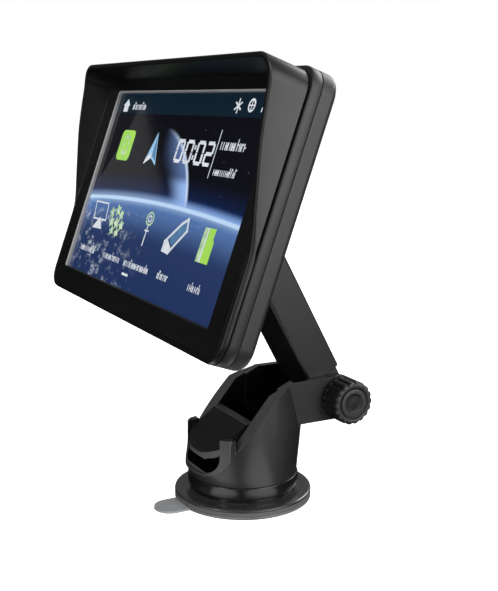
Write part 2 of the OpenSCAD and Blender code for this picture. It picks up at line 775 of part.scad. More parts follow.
hood_bezel();
middle_frame();
rear_cover();
touch_glass();
glass_gasket();
lcd_panel();
backlight_tray();
main_board();
rf_shield();
speaker();
gnss_antenna();
wifi_antenna();
microphone();
usb_socket();
aux_socket();
camera_socket();
card_socket();
power_switch();
power_button();
board_screws();
case_screws();
mount_plate();
plate_screws();
ball_stud();
ball_seat();
clamp_nut();
arm_extension();
arm_tube();
slide_pads();
detent_spring();
hinge_washers();
hinge_knob();
hinge_bolt();
hinge_nut();
base_housing();
suction_lever();
lever_pin();
suction_stem();
return_spring();
base_ring();
ring_screws();
suction_cup();
gel_pad();
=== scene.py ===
"""Looks of a portable in-car navigator: a hooded screen on a hinged arm and a suction base.

Sizes are in millimetres in each group's own axes; a matrix for each group carries them into the shared frame.
"""

import json
import logging
import math
from collections.abc import Callable, Sequence
from dataclasses import dataclass, field
from enum import Enum

import bmesh
import bpy
from bmesh.types import BMesh, BMEdge, BMVert
from bpy.types import Material, Mesh, NodeSocket, Object
from mathutils import Matrix, Vector

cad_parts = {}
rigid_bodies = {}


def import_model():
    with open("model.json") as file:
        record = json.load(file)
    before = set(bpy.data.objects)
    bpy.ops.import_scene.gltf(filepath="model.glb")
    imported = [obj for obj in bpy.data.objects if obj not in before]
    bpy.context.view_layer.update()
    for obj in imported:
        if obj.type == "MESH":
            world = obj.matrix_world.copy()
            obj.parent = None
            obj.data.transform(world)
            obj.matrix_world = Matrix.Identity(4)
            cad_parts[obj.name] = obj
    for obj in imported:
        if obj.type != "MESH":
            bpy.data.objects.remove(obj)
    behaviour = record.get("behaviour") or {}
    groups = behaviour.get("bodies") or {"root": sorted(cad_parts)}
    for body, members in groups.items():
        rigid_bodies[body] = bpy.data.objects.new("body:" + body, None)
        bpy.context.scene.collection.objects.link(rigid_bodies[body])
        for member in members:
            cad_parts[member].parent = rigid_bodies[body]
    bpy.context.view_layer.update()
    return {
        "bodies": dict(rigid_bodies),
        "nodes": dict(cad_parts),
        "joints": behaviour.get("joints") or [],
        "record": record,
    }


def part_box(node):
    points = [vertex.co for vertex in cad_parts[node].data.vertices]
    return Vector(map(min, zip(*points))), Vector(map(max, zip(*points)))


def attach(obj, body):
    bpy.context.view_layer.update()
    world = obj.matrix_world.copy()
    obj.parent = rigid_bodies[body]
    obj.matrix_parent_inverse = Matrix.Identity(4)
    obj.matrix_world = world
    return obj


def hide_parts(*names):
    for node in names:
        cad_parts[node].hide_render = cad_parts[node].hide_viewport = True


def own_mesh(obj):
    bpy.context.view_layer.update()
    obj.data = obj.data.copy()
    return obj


MM = 0.001
GLASS_TOP, GLASS_THICK = -1.8, 1.1
CORNERS = ((-1, -1), (-1, 1), (1, -1), (1, 1))
WHITE = (1, 1, 1, 1)
Colour = tuple[float, float, float]
Point = tuple[float, float]
Ring = list[Vector]
log = logging.getLogger("navigator")


# --- Shader maths ---------------------------------------------------------------------------


class Wire:
    """One value in a shader tree that takes part in Python arithmetic."""

    def __init__(self, shader: "Shader", socket: NodeSocket) -> None:
        """Keeps the tree and the output socket."""
        self.shader = shader
        self.socket = socket

    def _math(self, operation: str, first: "Wire | float", second: "Wire | float") -> "Wire":
        """Returns one Math node on two values."""
        return self.shader.node("ShaderNodeMath", {"operation": operation}, {0: first, 1: second})

    def __add__(self, other: "Wire | float") -> "Wire":
        """Returns self + other."""
        return self._math("ADD", self, other)

    def __radd__(self, other: float) -> "Wire":
        """Returns other + self."""
        return self._math("ADD", other, self)

    def __sub__(self, other: "Wire | float") -> "Wire":
        """Returns self - other."""
        return self._math("SUBTRACT", self, other)

    def __rsub__(self, other: float) -> "Wire":
        """Returns other - self."""
        return self._math("SUBTRACT", other, self)

    def __mul__(self, other: "Wire | float") -> "Wire":
        """Returns self * other."""
        return self._math("MULTIPLY", self, other)

    def __rmul__(self, other: float) -> "Wire":
        """Returns other * self."""
        return self._math("MULTIPLY", other, self)

    def __pow__(self, other: float) -> "Wire":
        """Returns self to the power of other."""
        return self._math("POWER", self, other)

    def rise(self, low: float, high: float) -> "Wire":
        """Returns a smooth step from 0 at low to 1 at high."""
        return self.shader.node(
            "ShaderNodeMapRange",
            {"interpolation_type": "SMOOTHSTEP"},
            {"Value": self, "From Min": low, "From Max": high},
        )

    def band(self, middle: float, half: float) -> "Wire":
        """Returns a soft band: 1 at the middle, 0 beyond half its width."""
        return 1 - self._math("ABSOLUTE", self - middle, 0.0).rise(0.0, half)


class Shader:
    """A material's node tree, built through one method that adds any node."""

    def __init__(self, name: str) -> None:
        """Makes an empty material of that name."""
        self.material = bpy.data.materials.new(name)
        self.material.use_nodes = True
        self.tree = self.material.node_tree
        self.tree.nodes.clear()

    def node(
        self, kind: str, settings: dict | None = None, inputs: dict | None = None, output: int | str = 0
    ) -> Wire:
        """Adds a node.

        Args:
            kind: the node's type.
            settings: its properties, set first.
            inputs: values or wires of its sockets, by name or number.
            output: the socket to return.

        Returns:
            The chosen output.
        """
        made = self.tree.nodes.new(kind)
        for key, value in (settings or {}).items():
            setattr(made, key, value)
        for key, value in (inputs or {}).items():
            if isinstance(value, Wire):
                self.tree.links.new(value.socket, made.inputs[key])
            else:
                made.inputs[key].default_value = value
        return Wire(self, made.outputs[output])

    def position(self) -> Wire:
        """Returns the object coordinates."""
        return self.node("ShaderNodeTexCoord", output="Object")

    def mapped(self, scale: Sequence[float], place: Matrix | None = None) -> Wire:
        """Returns object coordinates scaled along each axis, in the axes of a place if given."""
        start = self.position()
        if place is not None:
            at = {"Location": place.to_translation(), "Rotation": place.to_euler(), "Scale": (MM, MM, MM)}
            start = self.node("ShaderNodeMapping", {"vector_type": "TEXTURE"}, {"Vector": start, **at})
        return self.node("ShaderNodeMapping", {}, {"Vector": start, "Scale": scale})

    def noise(
        self, size: float, detail: float = 3.0, rough: float = 0.55, vector: Wire | None = None
    ) -> Wire:
        """Returns noise whose features are about that size, in millimetres."""
        scale = 1.0 if vector is not None else 1 / (size * MM)
        inputs = {"Vector": vector or self.position(), "Scale": scale, "Detail": detail, "Roughness": rough}
        return self.node("ShaderNodeTexNoise", {}, inputs)

    def mix(self, first: "Colour | Wire", second: "Colour | Wire", factor: "Wire | float") -> Wire:
        """Returns a blend of two colours."""
        start, end = ((*c, 1) if isinstance(c, tuple) else c for c in (first, second))
        return self.node("ShaderNodeMix", {"data_type": "RGBA"}, {0: factor, 6: start, 7: end}, 2)

    def bump(self, height: Wire, depth: float) -> Wire:
        """Returns a normal from a height between 0 and 1 that stands for a depth in millimetres."""
        return self.node("ShaderNodeBump", {}, {"Height": height, "Distance": depth * MM, "Strength": 1.0})

    def surface(self, **sockets: "Wire | float | tuple") -> Material:
        """Finishes the material with one Principled shader.

        Args:
            sockets: its inputs, with _ for a space.

        Returns:
            The material.
        """
        inputs = {key.replace("_", " "): value for key, value in sockets.items()}
        shader = self.node("ShaderNodeBsdfPrincipled", {}, inputs)
        out = self.tree.nodes.new("ShaderNodeOutputMaterial")
        self.tree.links.new(shader.socket, out.inputs["Surface"])
        return self.material


# --- Finishes -------------------------------------------------------------------------------


def shade(colour: Colour, factor: float) -> Colour:
    """Returns the colour made lighter or darker by a factor."""
    return tuple(min(1.0, c * factor) for c in colour)


@dataclass(frozen=True)
class Plastic:
    """Moulded plastic: a fine grain, slow colour and gloss changes, and a little dust."""

    name: str
    colour: Colour
    roughness: float = 0.4
    grain: float = 0.35
    relief: float = 0.015
    uneven: float = 0.1
    coat: float = 0.0
    dust: float = 0.05

    def material(self) -> Material:
        """Returns the finished material."""
        s = Shader(self.name)
        cloud = s.noise(22, 4)
        grain = s.noise(self.grain, 2)
        specks = s.noise(1.4, 5, 0.7).rise(0.62, 0.78) * self.dust
        colour = s.mix(shade(self.colour, 0.82), shade(self.colour, 1.2), cloud)
        colour = s.mix(colour, (0.32, 0.32, 0.31), specks)
        rough = (cloud - 0.5) * self.uneven + (grain - 0.5) * 0.06 + specks + self.roughness
        return s.surface(
            Base_Color=colour, Roughness=rough, Normal=s.bump(grain, self.relief), IOR=1.46,
            Coat_Weight=self.coat, Coat_Roughness=0.12,
        )


@dataclass(frozen=True)
class Metal:
    """Plated or drawn metal with fine lines along one axis."""

    name: str
    colour: Colour = (0.62, 0.62, 0.63)
    roughness: float = 0.28
    lines: tuple[float, float, float] = (6000.0, 400.0, 400.0)

    def material(self) -> Material:
        """Returns the finished material."""
        s = Shader(self.name)
        streaks = s.noise(1, 3, 0.6, s.mapped(self.lines))
        cloud = s.noise(6, 3)
        colour = s.mix(shade(self.colour, 0.75), shade(self.colour, 1.15), cloud)
        rough = (streaks - 0.5) * 0.2 + (cloud - 0.5) * 0.12 + self.roughness
        return s.surface(Base_Color=colour, Metallic=1.0, Roughness=rough, Normal=s.bump(streaks, 0.004))


@dataclass(frozen=True)
class Board:
    """Circuit board: lacquered green with copper lines under it."""

    name: str
    colour: Colour = (0.01, 0.075, 0.03)

    def material(self) -> Material:
        """Returns the finished material."""
        s = Shader(self.name)
        inputs = {"Vector": s.position(), "Scale": 420.0}
        cells = s.node("ShaderNodeTexVoronoi", {"feature": "DISTANCE_TO_EDGE"}, inputs)
        lines = 1 - cells.rise(0.02, 0.07)
        colour = s.mix(self.colour, shade(self.colour, 2.4), lines)
        rough = 0.32 + s.noise(4) * 0.1
        return s.surface(Base_Color=colour, Roughness=rough, Normal=s.bump(lines, 0.02), Coat_Weight=0.5)


@dataclass(frozen=True)
class Gel:
    """Clear grey sticky layer with small bubbles and a smoky body."""

    name: str
    colour: Colour = (0.2, 0.21, 0.22)
    roughness: float = 0.2
    clear: float = 0.25

    def material(self) -> Material:
        """Returns the finished material."""
        s = Shader(self.name)
        cloud = s.noise(9, 4)
        bubbles = s.node("ShaderNodeTexVoronoi", {}, {"Vector": s.position(), "Scale": 700.0})
        spots = 1 - bubbles.rise(0.05, 0.16)
        colour = s.mix(shade(self.colour, 0.8), shade(self.colour, 1.35), cloud)
        colour = s.mix(colour, (0.5, 0.51, 0.52), spots * 0.35)
        return s.surface(
            Base_Color=colour, Roughness=self.roughness + cloud * 0.12, Normal=s.bump(spots, 0.03), IOR=1.43,
            Transmission_Weight=self.clear, Coat_Weight=0.3,
        )


@dataclass(frozen=True)
class Lit:
    """A shape that the display shows: it glows behind the gloss of the touch glass."""

    name: str
    colour: Colour
    second: Colour | None = None
    strength: float = 0.75
    fade: float = 8.0

    def material(self) -> Material:
        """Returns the finished material."""
        s = Shader(self.name)
        cloud = s.noise(self.fade, 3)
        colour = s.mix(self.colour, self.second or shade(self.colour, 0.72), cloud.rise(0.35, 0.65))
        return s.surface(
            Base_Color=(0.01, 0.01, 0.012, 1), Roughness=0.1 + cloud * 0.03, Emission_Color=colour,
            Emission_Strength=self.strength, Specular_IOR_Level=0.35,
        )


@dataclass(frozen=True)
class DisplayPicture:
    """Touch glass over a lit wallpaper: a world's bright edge, a far moon, stars and a bar on top."""

    name: str
    place: Matrix
    half: Point
    horizon: Point = (10.0, -4.6)
    horizon_r: float = 1000.0
    moon: Point = (-19.0, -22.0)
    moon_r: float = 50.7
    bar: float = 33.7
    strength: float = 0.9

    def material(self) -> Material:
        """Returns the finished material."""
        s = Shader(self.name)
        spot = s.mapped((1, 1, 1), self.place)
        parts = s.tree.nodes.new("ShaderNodeSeparateXYZ")
        s.tree.links.new(spot.socket, parts.inputs[0])
        across, up = (Wire(s, parts.outputs[i]) for i in (0, 1))

        def distance(centre: Point) -> Wire:
            """Returns the distance to a point of the picture."""
            return ((across - centre[0]) ** 2 + (up - centre[1]) ** 2) ** 0.5

        height = distance((self.horizon[0], self.horizon[1] - self.horizon_r)) - self.horizon_r
        inside = self.moon_r - distance(self.moon)
        ground = 1 - height.rise(-0.3, 0.3)
        sky = s.mix((0.001, 0.0012, 0.004), (0.003, 0.015, 0.07), 1 - height.rise(0.0, 14.0))
        stars = s.node("ShaderNodeTexVoronoi", {}, {"Vector": spot, "Scale": 0.24})
        twinkle = (1 - stars.rise(0.03, 0.07)) * s.noise(9, 2, 0.5).rise(0.5, 0.62)
        sky = s.mix(sky, (0.55, 0.6, 0.75), twinkle * 0.5)
        edge = inside.rise(0.0, 0.7)
        body = (1 - inside.rise(0.5, 17.0)) * edge * across.rise(-14.0, 6.0)
        sky = s.mix(sky, (0.12, 0.2, 0.42), body * 0.9)
        sky = s.mix(sky, (0.36, 0.56, 0.98), body * (1 - up.rise(4.0, 8.5)) * 0.95)
        sky = s.mix(sky, (0.62, 0.74, 0.95), inside.band(0.8, 1.6) * across.rise(-12.0, 14.0) * 0.9)
        haze = (1 - height.rise(0.0, 5.0)) * height.rise(-0.2, 0.2)
        sky = s.mix(sky, (0.09, 0.25, 0.75), haze * (0.35 + across.rise(-30.0, 60.0) * 0.6))
        depth = 0 - height
        land = s.mix((0.1, 0.2, 0.46), (0.019, 0.04, 0.125), depth.rise(0.0, 18.0))
        land = s.mix(land, (0.013, 0.032, 0.115), depth.rise(14.0, 36.0) * 0.75)
        streaks = s.noise(1, 6, 0.7, s.mapped((0.05, 0.5, 1), self.place)).rise(0.5, 0.7)
        land = s.mix(land, (0.25, 0.42, 0.8), streaks * (1 - depth.rise(1.0, 9.0)) * 0.55)
        ridges = s.noise(1, 8, 0.75, s.mapped((0.16, 0.22, 1), self.place)).rise(0.52, 0.66)
        near = (1 - across.rise(-52.0, 8.0)) * depth.rise(2.0, 8.0)
        land = s.mix(land, (0.5, 0.56, 0.66), ridges * near * 0.85)
        picture = s.mix(sky, land, ground)
        glow = height.band(0.0, 1.3) + height.band(0.4, 4.0) * 0.4
        picture = s.mix(picture, (0.55, 0.75, 1.0), glow)
        picture = s.mix(picture, (0.003, 0.014, 0.026), up.rise(self.bar - 0.2, self.bar + 0.2) * 0.93)
        shown = (1 - (across * across).rise(self.half[0] ** 2, (self.half[0] + 0.2) ** 2)) * (
            1 - (up * up).rise(self.half[1] ** 2, (self.half[1] + 0.2) ** 2)
        )
        picture = s.mix((0.0, 0.0, 0.0), picture, shown)
        smears = s.noise(16, 4, 0.6)
        return s.surface(
            Base_Color=(0.006, 0.006, 0.007, 1), Roughness=0.05 + smears * 0.05, Emission_Color=picture,
            Emission_Strength=self.strength, Specular_IOR_Level=0.35,
        )


def dress(piece: Object, *finishes: "Finish") -> Object:
    """Gives a piece its materials, in the order of its material slots, and returns it."""
    slots = piece.data.materials
    for index, finish in enumerate(finishes):
        made = bpy.data.materials.get(finish.name) or finish.material()
        if index < len(slots):
            slots[index] = made
        else:
            slots.append(made)
    return piece


Finish = Plastic | Metal | Board | Gel | Lit | DisplayPicture


# --- Forms ----------------------------------------------------------------------------------


class Group(Enum):
    """The groups of pieces that share one set of axes."""

    WORLD = "world"
    SCREEN = "screen"
    ARM = "arm"
    HINGE = "hinge"


def axes(origin: Vector, out: Vector) -> Matrix:
    """Returns the matrix of axes whose x is the frame's X and whose z is out, at an origin in metres."""
    x, z = Vector((1, 0, 0)), out.normalized()
    if abs(z.x) > 0.5:
        x, z = Vector((0, 0, -1)), Vector((1, 0, 0))
    y = z.cross(x)
    turn = Matrix((x, y, z)).transposed().to_4x4()
    return Matrix.Translation(origin) @ turn


def places(joints: Sequence[dict]) -> dict[Group, Matrix]:
    """Returns each group's axes, taken from the joints and the glass.

    Args:
        joints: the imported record's joints.
    """
    found = {joint["name"]: joint for joint in joints}
    out = Vector(found["screen_roll"]["axis"])
    low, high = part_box("touch_glass")
    glass_middle = (low + high) / 2
    hinge = Vector(found["arm_pitch"]["pos_m"])
    return {
        Group.WORLD: Matrix.Identity(4),
        Group.SCREEN: axes(glass_middle + out.normalized() * (GLASS_THICK / 2 - GLASS_TOP) * MM, out),
        Group.ARM: axes(hinge, Vector(found["arm_extend"]["axis"])),
        Group.HINGE: axes(hinge, Vector((1, 0, 0))),
    }


def rounded(
    w: float,
    h: float,
    r: float,
    z: float = 0.0,
    middle: Point = (0, 0),
    arc: int = 8,
    sides: Sequence[int] = (1, 1, 1, 1),
) -> Ring:
    """Returns a rounded rectangle, from its lower right corner round to the left.

    Args:
        w: width along x.
        h: height along y.
        r: corner radius.
        z: height of the ring.
        middle: its middle.
        arc: steps in each corner.
        sides: steps along the right, top, left and bottom sides.
    """
    corners = []
    for index, (sx, sy) in enumerate(((1, -1), (1, 1), (-1, 1), (-1, -1))):
        centre = Vector((middle[0] + sx * (w / 2 - r), middle[1] + sy * (h / 2 - r), z))
        angles = [math.radians(90 * (index - 1 + step / arc)) for step in range(arc + 1)]
        corners.append([centre + Vector((math.cos(a), math.sin(a), 0)) * r for a in angles])
    ring: Ring = []
    for index, corner in enumerate(corners):
        ring += corner
        end = corners[(index + 1) % 4][0]
        ring += [corner[-1].lerp(end, step / sides[index]) for step in range(1, sides[index])]
    return ring


def round_ring(r: float, z: float, count: int = 96, wave: Callable[[float], float] | None = None) -> Ring:
    """Returns a circle, or a waved one whose radius changes by wave(angle)."""
    ring = []
    for step in range(count):
        angle = 2 * math.pi * step / count
        reach = r + (wave(angle) if wave else 0.0)
        ring.append(Vector((reach * math.cos(angle), reach * math.sin(angle), z)))
    return ring


class Loft:
    """A skin drawn through rings of equal length, by extruding the open edge."""

    def __init__(self, ring: Ring, filled: bool = False) -> None:
        """Starts at a ring, closed by a face when filled."""
        self.bm = bmesh.new()
        self.verts = list(bmesh.ops.create_circle(self.bm, segments=len(ring), radius=1)["verts"])
        self.first = ring
        self._set(ring)
        if filled:
            self.fill()

    def _set(self, ring: Ring) -> None:
        """Moves the open edge's vertices onto a ring."""
        for vert, place in zip(self.verts, ring, strict=True):
            vert.co = place

    def _edges(self) -> list[BMEdge]:
        """Returns the open edge's edges in order."""
        pairs = zip(self.verts, self.verts[1:] + self.verts[:1])
        return [self.bm.edges.get(pair) for pair in pairs]

    def to(self, *rings: Ring) -> "Loft":
        """Extrudes through more rings and returns itself."""
        for ring in rings:
            made = bmesh.ops.extrude_edge_only(self.bm, edges=self._edges())["geom"]
            fresh = {item for item in made if isinstance(item, BMVert)}
            self.verts = [
                next(edge.other_vert(vert) for edge in vert.link_edges if edge.other_vert(vert) in fresh)
                for vert in self.verts
            ]
            self._set(ring)
        return self

    def fill(self) -> "Loft":
        """Closes the open edge with one face and returns itself."""
        bmesh.ops.edgeloop_fill(self.bm, edges=self._edges())
        return self

    def close(self) -> BMesh:
        """Leads the skin back to its first ring and returns the closed mesh."""
        self.to(self.first)
        return tidy(self.bm, 0.001)


def tidy(bm: BMesh, distance: float = 0.002) -> BMesh:
    """Merges doubles, turns faces outwards and returns the mesh."""
    bmesh.ops.remove_doubles(bm, verts=bm.verts, dist=distance)
    bmesh.ops.dissolve_degenerate(bm, edges=bm.edges, dist=distance / 2)
    bmesh.ops.recalc_face_normals(bm, faces=bm.faces)
    return bm


def lathe(profile: Sequence[Point], steps: int = 96) -> BMesh:
    """Turns a profile of (radius, height) points about z; it is closed or ends on the axis."""
    bm = bmesh.new()
    verts = [bm.verts.new((radius, 0, height)) for radius, height in profile]
    edges = [bm.edges.new(pair) for pair in zip(verts, verts[1:])]
    bmesh.ops.spin(
        bm, geom=verts + edges, cent=(0, 0, 0), axis=(0, 0, 1), angle=2 * math.pi, steps=steps, use_merge=True
    )
    return tidy(bm)


def slab(w: float, h: float, r: float, z0: float, z1: float, middle: Point = (0, 0), arc: int = 6) -> BMesh:
    """Returns a closed plate with round corners between two heights."""
    return tidy(Loft(rounded(w, h, r, z0, middle, arc), True).to(rounded(w, h, r, z1, middle, arc)).fill().bm)


def rod(r: float, z0: float, z1: float, count: int = 48, turn: Matrix | None = None) -> BMesh:
    """Returns a closed cylinder along z, turned and moved by a matrix if given."""
    bm = tidy(Loft(round_ring(r, z0, count), True).to(round_ring(r, z1, count)).fill().bm)
    if turn is not None:
        bm.transform(turn)
    return bm


def prism(points: Sequence[Point], z0: float, z1: float) -> BMesh:
    """Returns a closed prism on a polygon."""
    rings = [[Vector((x, y, z)) for x, y in points] for z in (z0, z1)]
    return tidy(Loft(rings[0], True).to(rings[1]).fill().bm)


def temporary(bm: BMesh) -> Object:
    """Returns a short-lived object of a mesh, and frees the mesh."""
    mesh = bpy.data.meshes.new("tool")
    bm.to_mesh(mesh)
    bm.free()
    made = bpy.data.objects.new("tool", mesh)
    bpy.context.scene.collection.objects.link(made)
    return made


def combine(base: BMesh, tools: Sequence[BMesh], operation: str = "DIFFERENCE") -> BMesh:
    """Cuts tools out of a base, joins them to it, or keeps what they share.

    Args:
        base: the closed mesh to change.
        tools: closed meshes.
        operation: DIFFERENCE, UNION or INTERSECT.

    Returns:
        The new mesh.
    """
    body, helpers = temporary(base), [temporary(tool) for tool in tools]
    for helper in helpers:
        change = body.modifiers.new("change", "BOOLEAN")
        change.operation, change.solver, change.object = operation, "EXACT", helper
    bpy.context.view_layer.update()
    result = bpy.data.meshes.new_from_object(body.evaluated_get(bpy.context.evaluated_depsgraph_get()))
    bm = bmesh.new()
    bm.from_mesh(result)
    bpy.data.meshes.remove(result)
    for item in (body, *helpers):
        mesh = item.data
        bpy.data.objects.remove(item)
        bpy.data.meshes.remove(mesh)
    bmesh.ops.remove_doubles(bm, verts=bm.verts, dist=0.001)
    bmesh.ops.dissolve_limit(bm, angle_limit=math.radians(0.4), verts=bm.verts, edges=bm.edges)
    return bm


def copied(node: Object, angle: float = 0.6) -> BMesh:
    """Returns a merged copy of a CAD node's mesh, in metres, with its flat faces whole."""
    bm = bmesh.new()
    bm.from_mesh(node.data)
    bmesh.ops.remove_doubles(bm, verts=bm.verts, dist=4e-6)
    bmesh.ops.dissolve_limit(bm, angle_limit=math.radians(angle), verts=bm.verts, edges=bm.edges)
    return bm


@dataclass
class Workshop:
    """Makes finished objects: places them, rounds their edges, dresses them and ties them to the frame."""

    frame: dict
    place: dict[Group, Matrix]
    made: list[str] = field(default_factory=list)

    def piece(
        self,
        name: str,
        bm: BMesh,
        group: Group | None,
        body: str,
        finishes: "Sequence[Finish]",
        replaces: Sequence[str] = (),
        slot: str = "case_black",
        edge: float = 0.0,
        angle: float = 32.0,
        segments: int = 3,
        paint: Callable[[Vector, Vector], int] | None = None,
        edge_finish: int = 1,
    ) -> Object:
        """Makes one finished piece.

        Args:
            name: the piece's name.
            bm: its mesh, freed here.
            group: the axes it is modelled in, or None when it is in metres in the frame.
            body: the body it rides on.
            finishes: its finish, the finish of its rounded edges, which is a lighter copy that paints an edge
                highlight, and any others that paint picks.
            replaces: the CAD nodes it stands for.
            slot: the record's material slot; not used.
            edge: width of the rounded edges.
            angle: the least angle in degrees that gets a rounded edge.
            segments: faces across a rounded edge.
            paint: picks a face's finish from its middle and its normal, in millimetres.
            edge_finish: the finish of the rounded edges, which paints a highlight along them, or -1 for that
                of the faces beside them.

        Returns:
            The object.
        """
        if group is None:
            bm.transform(Matrix.Scale(1 / MM, 4))
        bm.normal_update()
        for face in bm.faces:
            face.smooth = True
            if paint is not None:
                face.material_index = paint(face.calc_center_median(), face.normal)
        bm.transform((self.place[group] if group else Matrix.Identity(4)) @ Matrix.Scale(MM, 4))
        mesh: Mesh = bpy.data.meshes.new(name)
        bm.to_mesh(mesh)
        bm.free()
        item = bpy.data.objects.new(name, mesh)
        bpy.context.scene.collection.objects.link(item)
        mesh.set_sharp_from_angle(angle=math.radians(angle))
        if edge:
            bevel = item.modifiers.new("edges", "BEVEL")
            bevel.width, bevel.segments, bevel.limit_method = edge * MM, segments, "ANGLE"
            bevel.angle_limit, bevel.use_clamp_overlap = math.radians(angle), True
            bevel.miter_outer = "MITER_ARC"
            # The rounded edges take the second finish, a lighter one: a painted highlight along the edges.
            bevel.material = edge_finish if len(finishes) > 1 else -1
            for flat in mesh.edges:
                flat.use_edge_sharp = False
            shading = item.modifiers.new("shading", "WEIGHTED_NORMAL")
            shading.keep_sharp = True
        dress(item, *finishes)
        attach(item, body)
        if replaces:
            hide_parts(*replaces)
        self.made.append(name)
        log.info("%s rides on %s", name, body)
        return item

    def copy(
        self,
        name: str,
        node: str,
        body: str,
        finishes: "Sequence[Finish]",
        slot: str,
        edge: float,
        angle: float = 35.0,
        **more: "Callable[[Vector, Vector], int] | int",
    ) -> Object:
        """Makes a piece from a CAD node's own shape with rounded edges.

        Args:
            name: the piece's name.
            node: the CAD node that it copies and stands for.
            body: the body it rides on.
            finishes: its finishes, as for piece.
            slot: the record's material slot.
            edge: width of the rounded edges.
            angle: the least angle in degrees that gets a rounded edge.
            more: paint and edge_finish, as for piece.

        Returns:
            The object.
        """
        shape = copied(self.frame["nodes"][node])
        return self.piece(name, shape, None, body, finishes, (node,), slot, edge, angle, **more)


# --- Finishes of this object ----------------------------------------------------------------

CASE = Plastic("case_plastic", (0.0062, 0.0062, 0.0068), 0.36, 0.3, 0.012)
# Painted highlight: a lighter copy of the case plastic for the crown of the hood's lip.
CASE_LIP_HIGHLIGHT = Plastic("case_lip_painted_highlight", (0.05, 0.05, 0.053), 0.3, 0.3, 0.006, dust=0.0)
# Painted highlight: a pale copy of the case plastic for the left and top of the window's reveal.
REVEAL_HIGHLIGHT = Plastic("window_reveal_painted_highlight", (0.34, 0.34, 0.345), 0.4, 0.3, 0.006, dust=0.0)
# Painted shade: near black for the spigot seen in the groove between the hood and the frame.
GROOVE_SHADE = Plastic("groove_painted_shade", (0.0015, 0.0015, 0.0016), 0.7, 0.5, 0.01, dust=0.0)
SATIN = Plastic("case_satin_plastic", (0.0125, 0.0125, 0.0135), 0.44, 0.28, 0.022)
# Painted edge highlight: a lighter copy of the satin plastic for rounded edges.
SATIN_EDGE_HIGHLIGHT = Plastic("case_satin_edge_painted_highlight", (0.045, 0.045, 0.048), 0.36, 0.3, 0.008, dust=0.0)
ARM_BLACK = Plastic("arm_plastic", (0.0085, 0.0085, 0.0092), 0.4, 0.35, 0.014)
# Painted edge highlight: a lighter copy of the arm plastic for rounded edges.
ARM_EDGE_HIGHLIGHT = Plastic("arm_edge_painted_highlight", (0.04, 0.04, 0.043), 0.34, 0.35, 0.008, dust=0.0)
BASE = Plastic("base_plastic", (0.0175, 0.0175, 0.0186), 0.36, 0.35, 0.012)
# Painted edge highlight: a lighter copy of the base plastic for rounded edges.
BASE_EDGE_HIGHLIGHT = Plastic("base_edge_painted_highlight", (0.05, 0.05, 0.054), 0.3, 0.35, 0.006, dust=0.0)
# Painted highlight: a lighter, rougher copy for the cheeks' up-facing sloping strips.
STRIP_HIGHLIGHT = Plastic("base_strip_painted_highlight", (0.1, 0.1, 0.103), 0.5, 0.7, 0.03)
RIM = Plastic("notch_rim_band", (0.042, 0.042, 0.045), 0.42, 0.5, 0.015)
# Painted shade: near-black gloss for the bay's inside and for the lever's top behind the dish and its
# underside.
INNER_SHADE = Plastic("inner_gloss_painted_shade", (0.002, 0.002, 0.0022), 0.2, 0.8, 0.03, 0.12, 0.3)
LEVER = Plastic("lever_plastic", (0.014, 0.014, 0.015), 0.34, 0.35, 0.010)
# Painted highlight: a lighter copy of the lever plastic for the lever's scalloped front lip.
LEVER_LIP_HIGHLIGHT = Plastic("lever_lip_painted_highlight", (0.085, 0.085, 0.088), 0.3, 0.35, 0.006, dust=0.0)
GRIP = Plastic("grip_plastic", (0.0022, 0.0022, 0.0025), 0.48, 0.4, 0.02)
# Painted highlight: a lighter copy of the grip plastic for the knob's end face.
GRIP_FACE_HIGHLIGHT = Plastic("grip_face_painted_highlight", (0.03, 0.03, 0.031), 0.38, 0.4, 0.02)
# Painted edge highlight: a lighter copy of the grip plastic for rounded edges.
GRIP_EDGE_HIGHLIGHT = Plastic("grip_edge_painted_highlight", (0.03, 0.03, 0.032), 0.3, 0.4, 0.01, dust=0.0)
GLOSS = Plastic("ring_gloss", (0.004, 0.004, 0.0045), 0.16, 0.6, 0.002, 0.05, 0.8, 0.02)
# Painted edge highlight: a lighter copy of the ring gloss for rounded edges.
GLOSS_EDGE_HIGHLIGHT = Plastic("ring_gloss_edge_painted_highlight", (0.02, 0.02, 0.022), 0.16, 0.6, 0.002, 0.04, 0.8, 0.0)
FLANGE = Plastic("flange_rubber", (0.034, 0.034, 0.035), 0.26, 0.6, 0.006, 0.08, 0.3)
FLANGE_FOOT = Plastic("flange_foot", (0.11, 0.111, 0.113), 0.4, 0.5, 0.01)
RUBBER = Plastic("cup_rubber", (0.012, 0.012, 0.013), 0.5, 0.5, 0.03, 0.14)
GEL_DISC = Gel("gel_disc", (0.13, 0.131, 0.133), 0.3, 0.0)
GEL_TAB = Gel("gel_tab", (0.42, 0.43, 0.44), 0.25, 0.3)


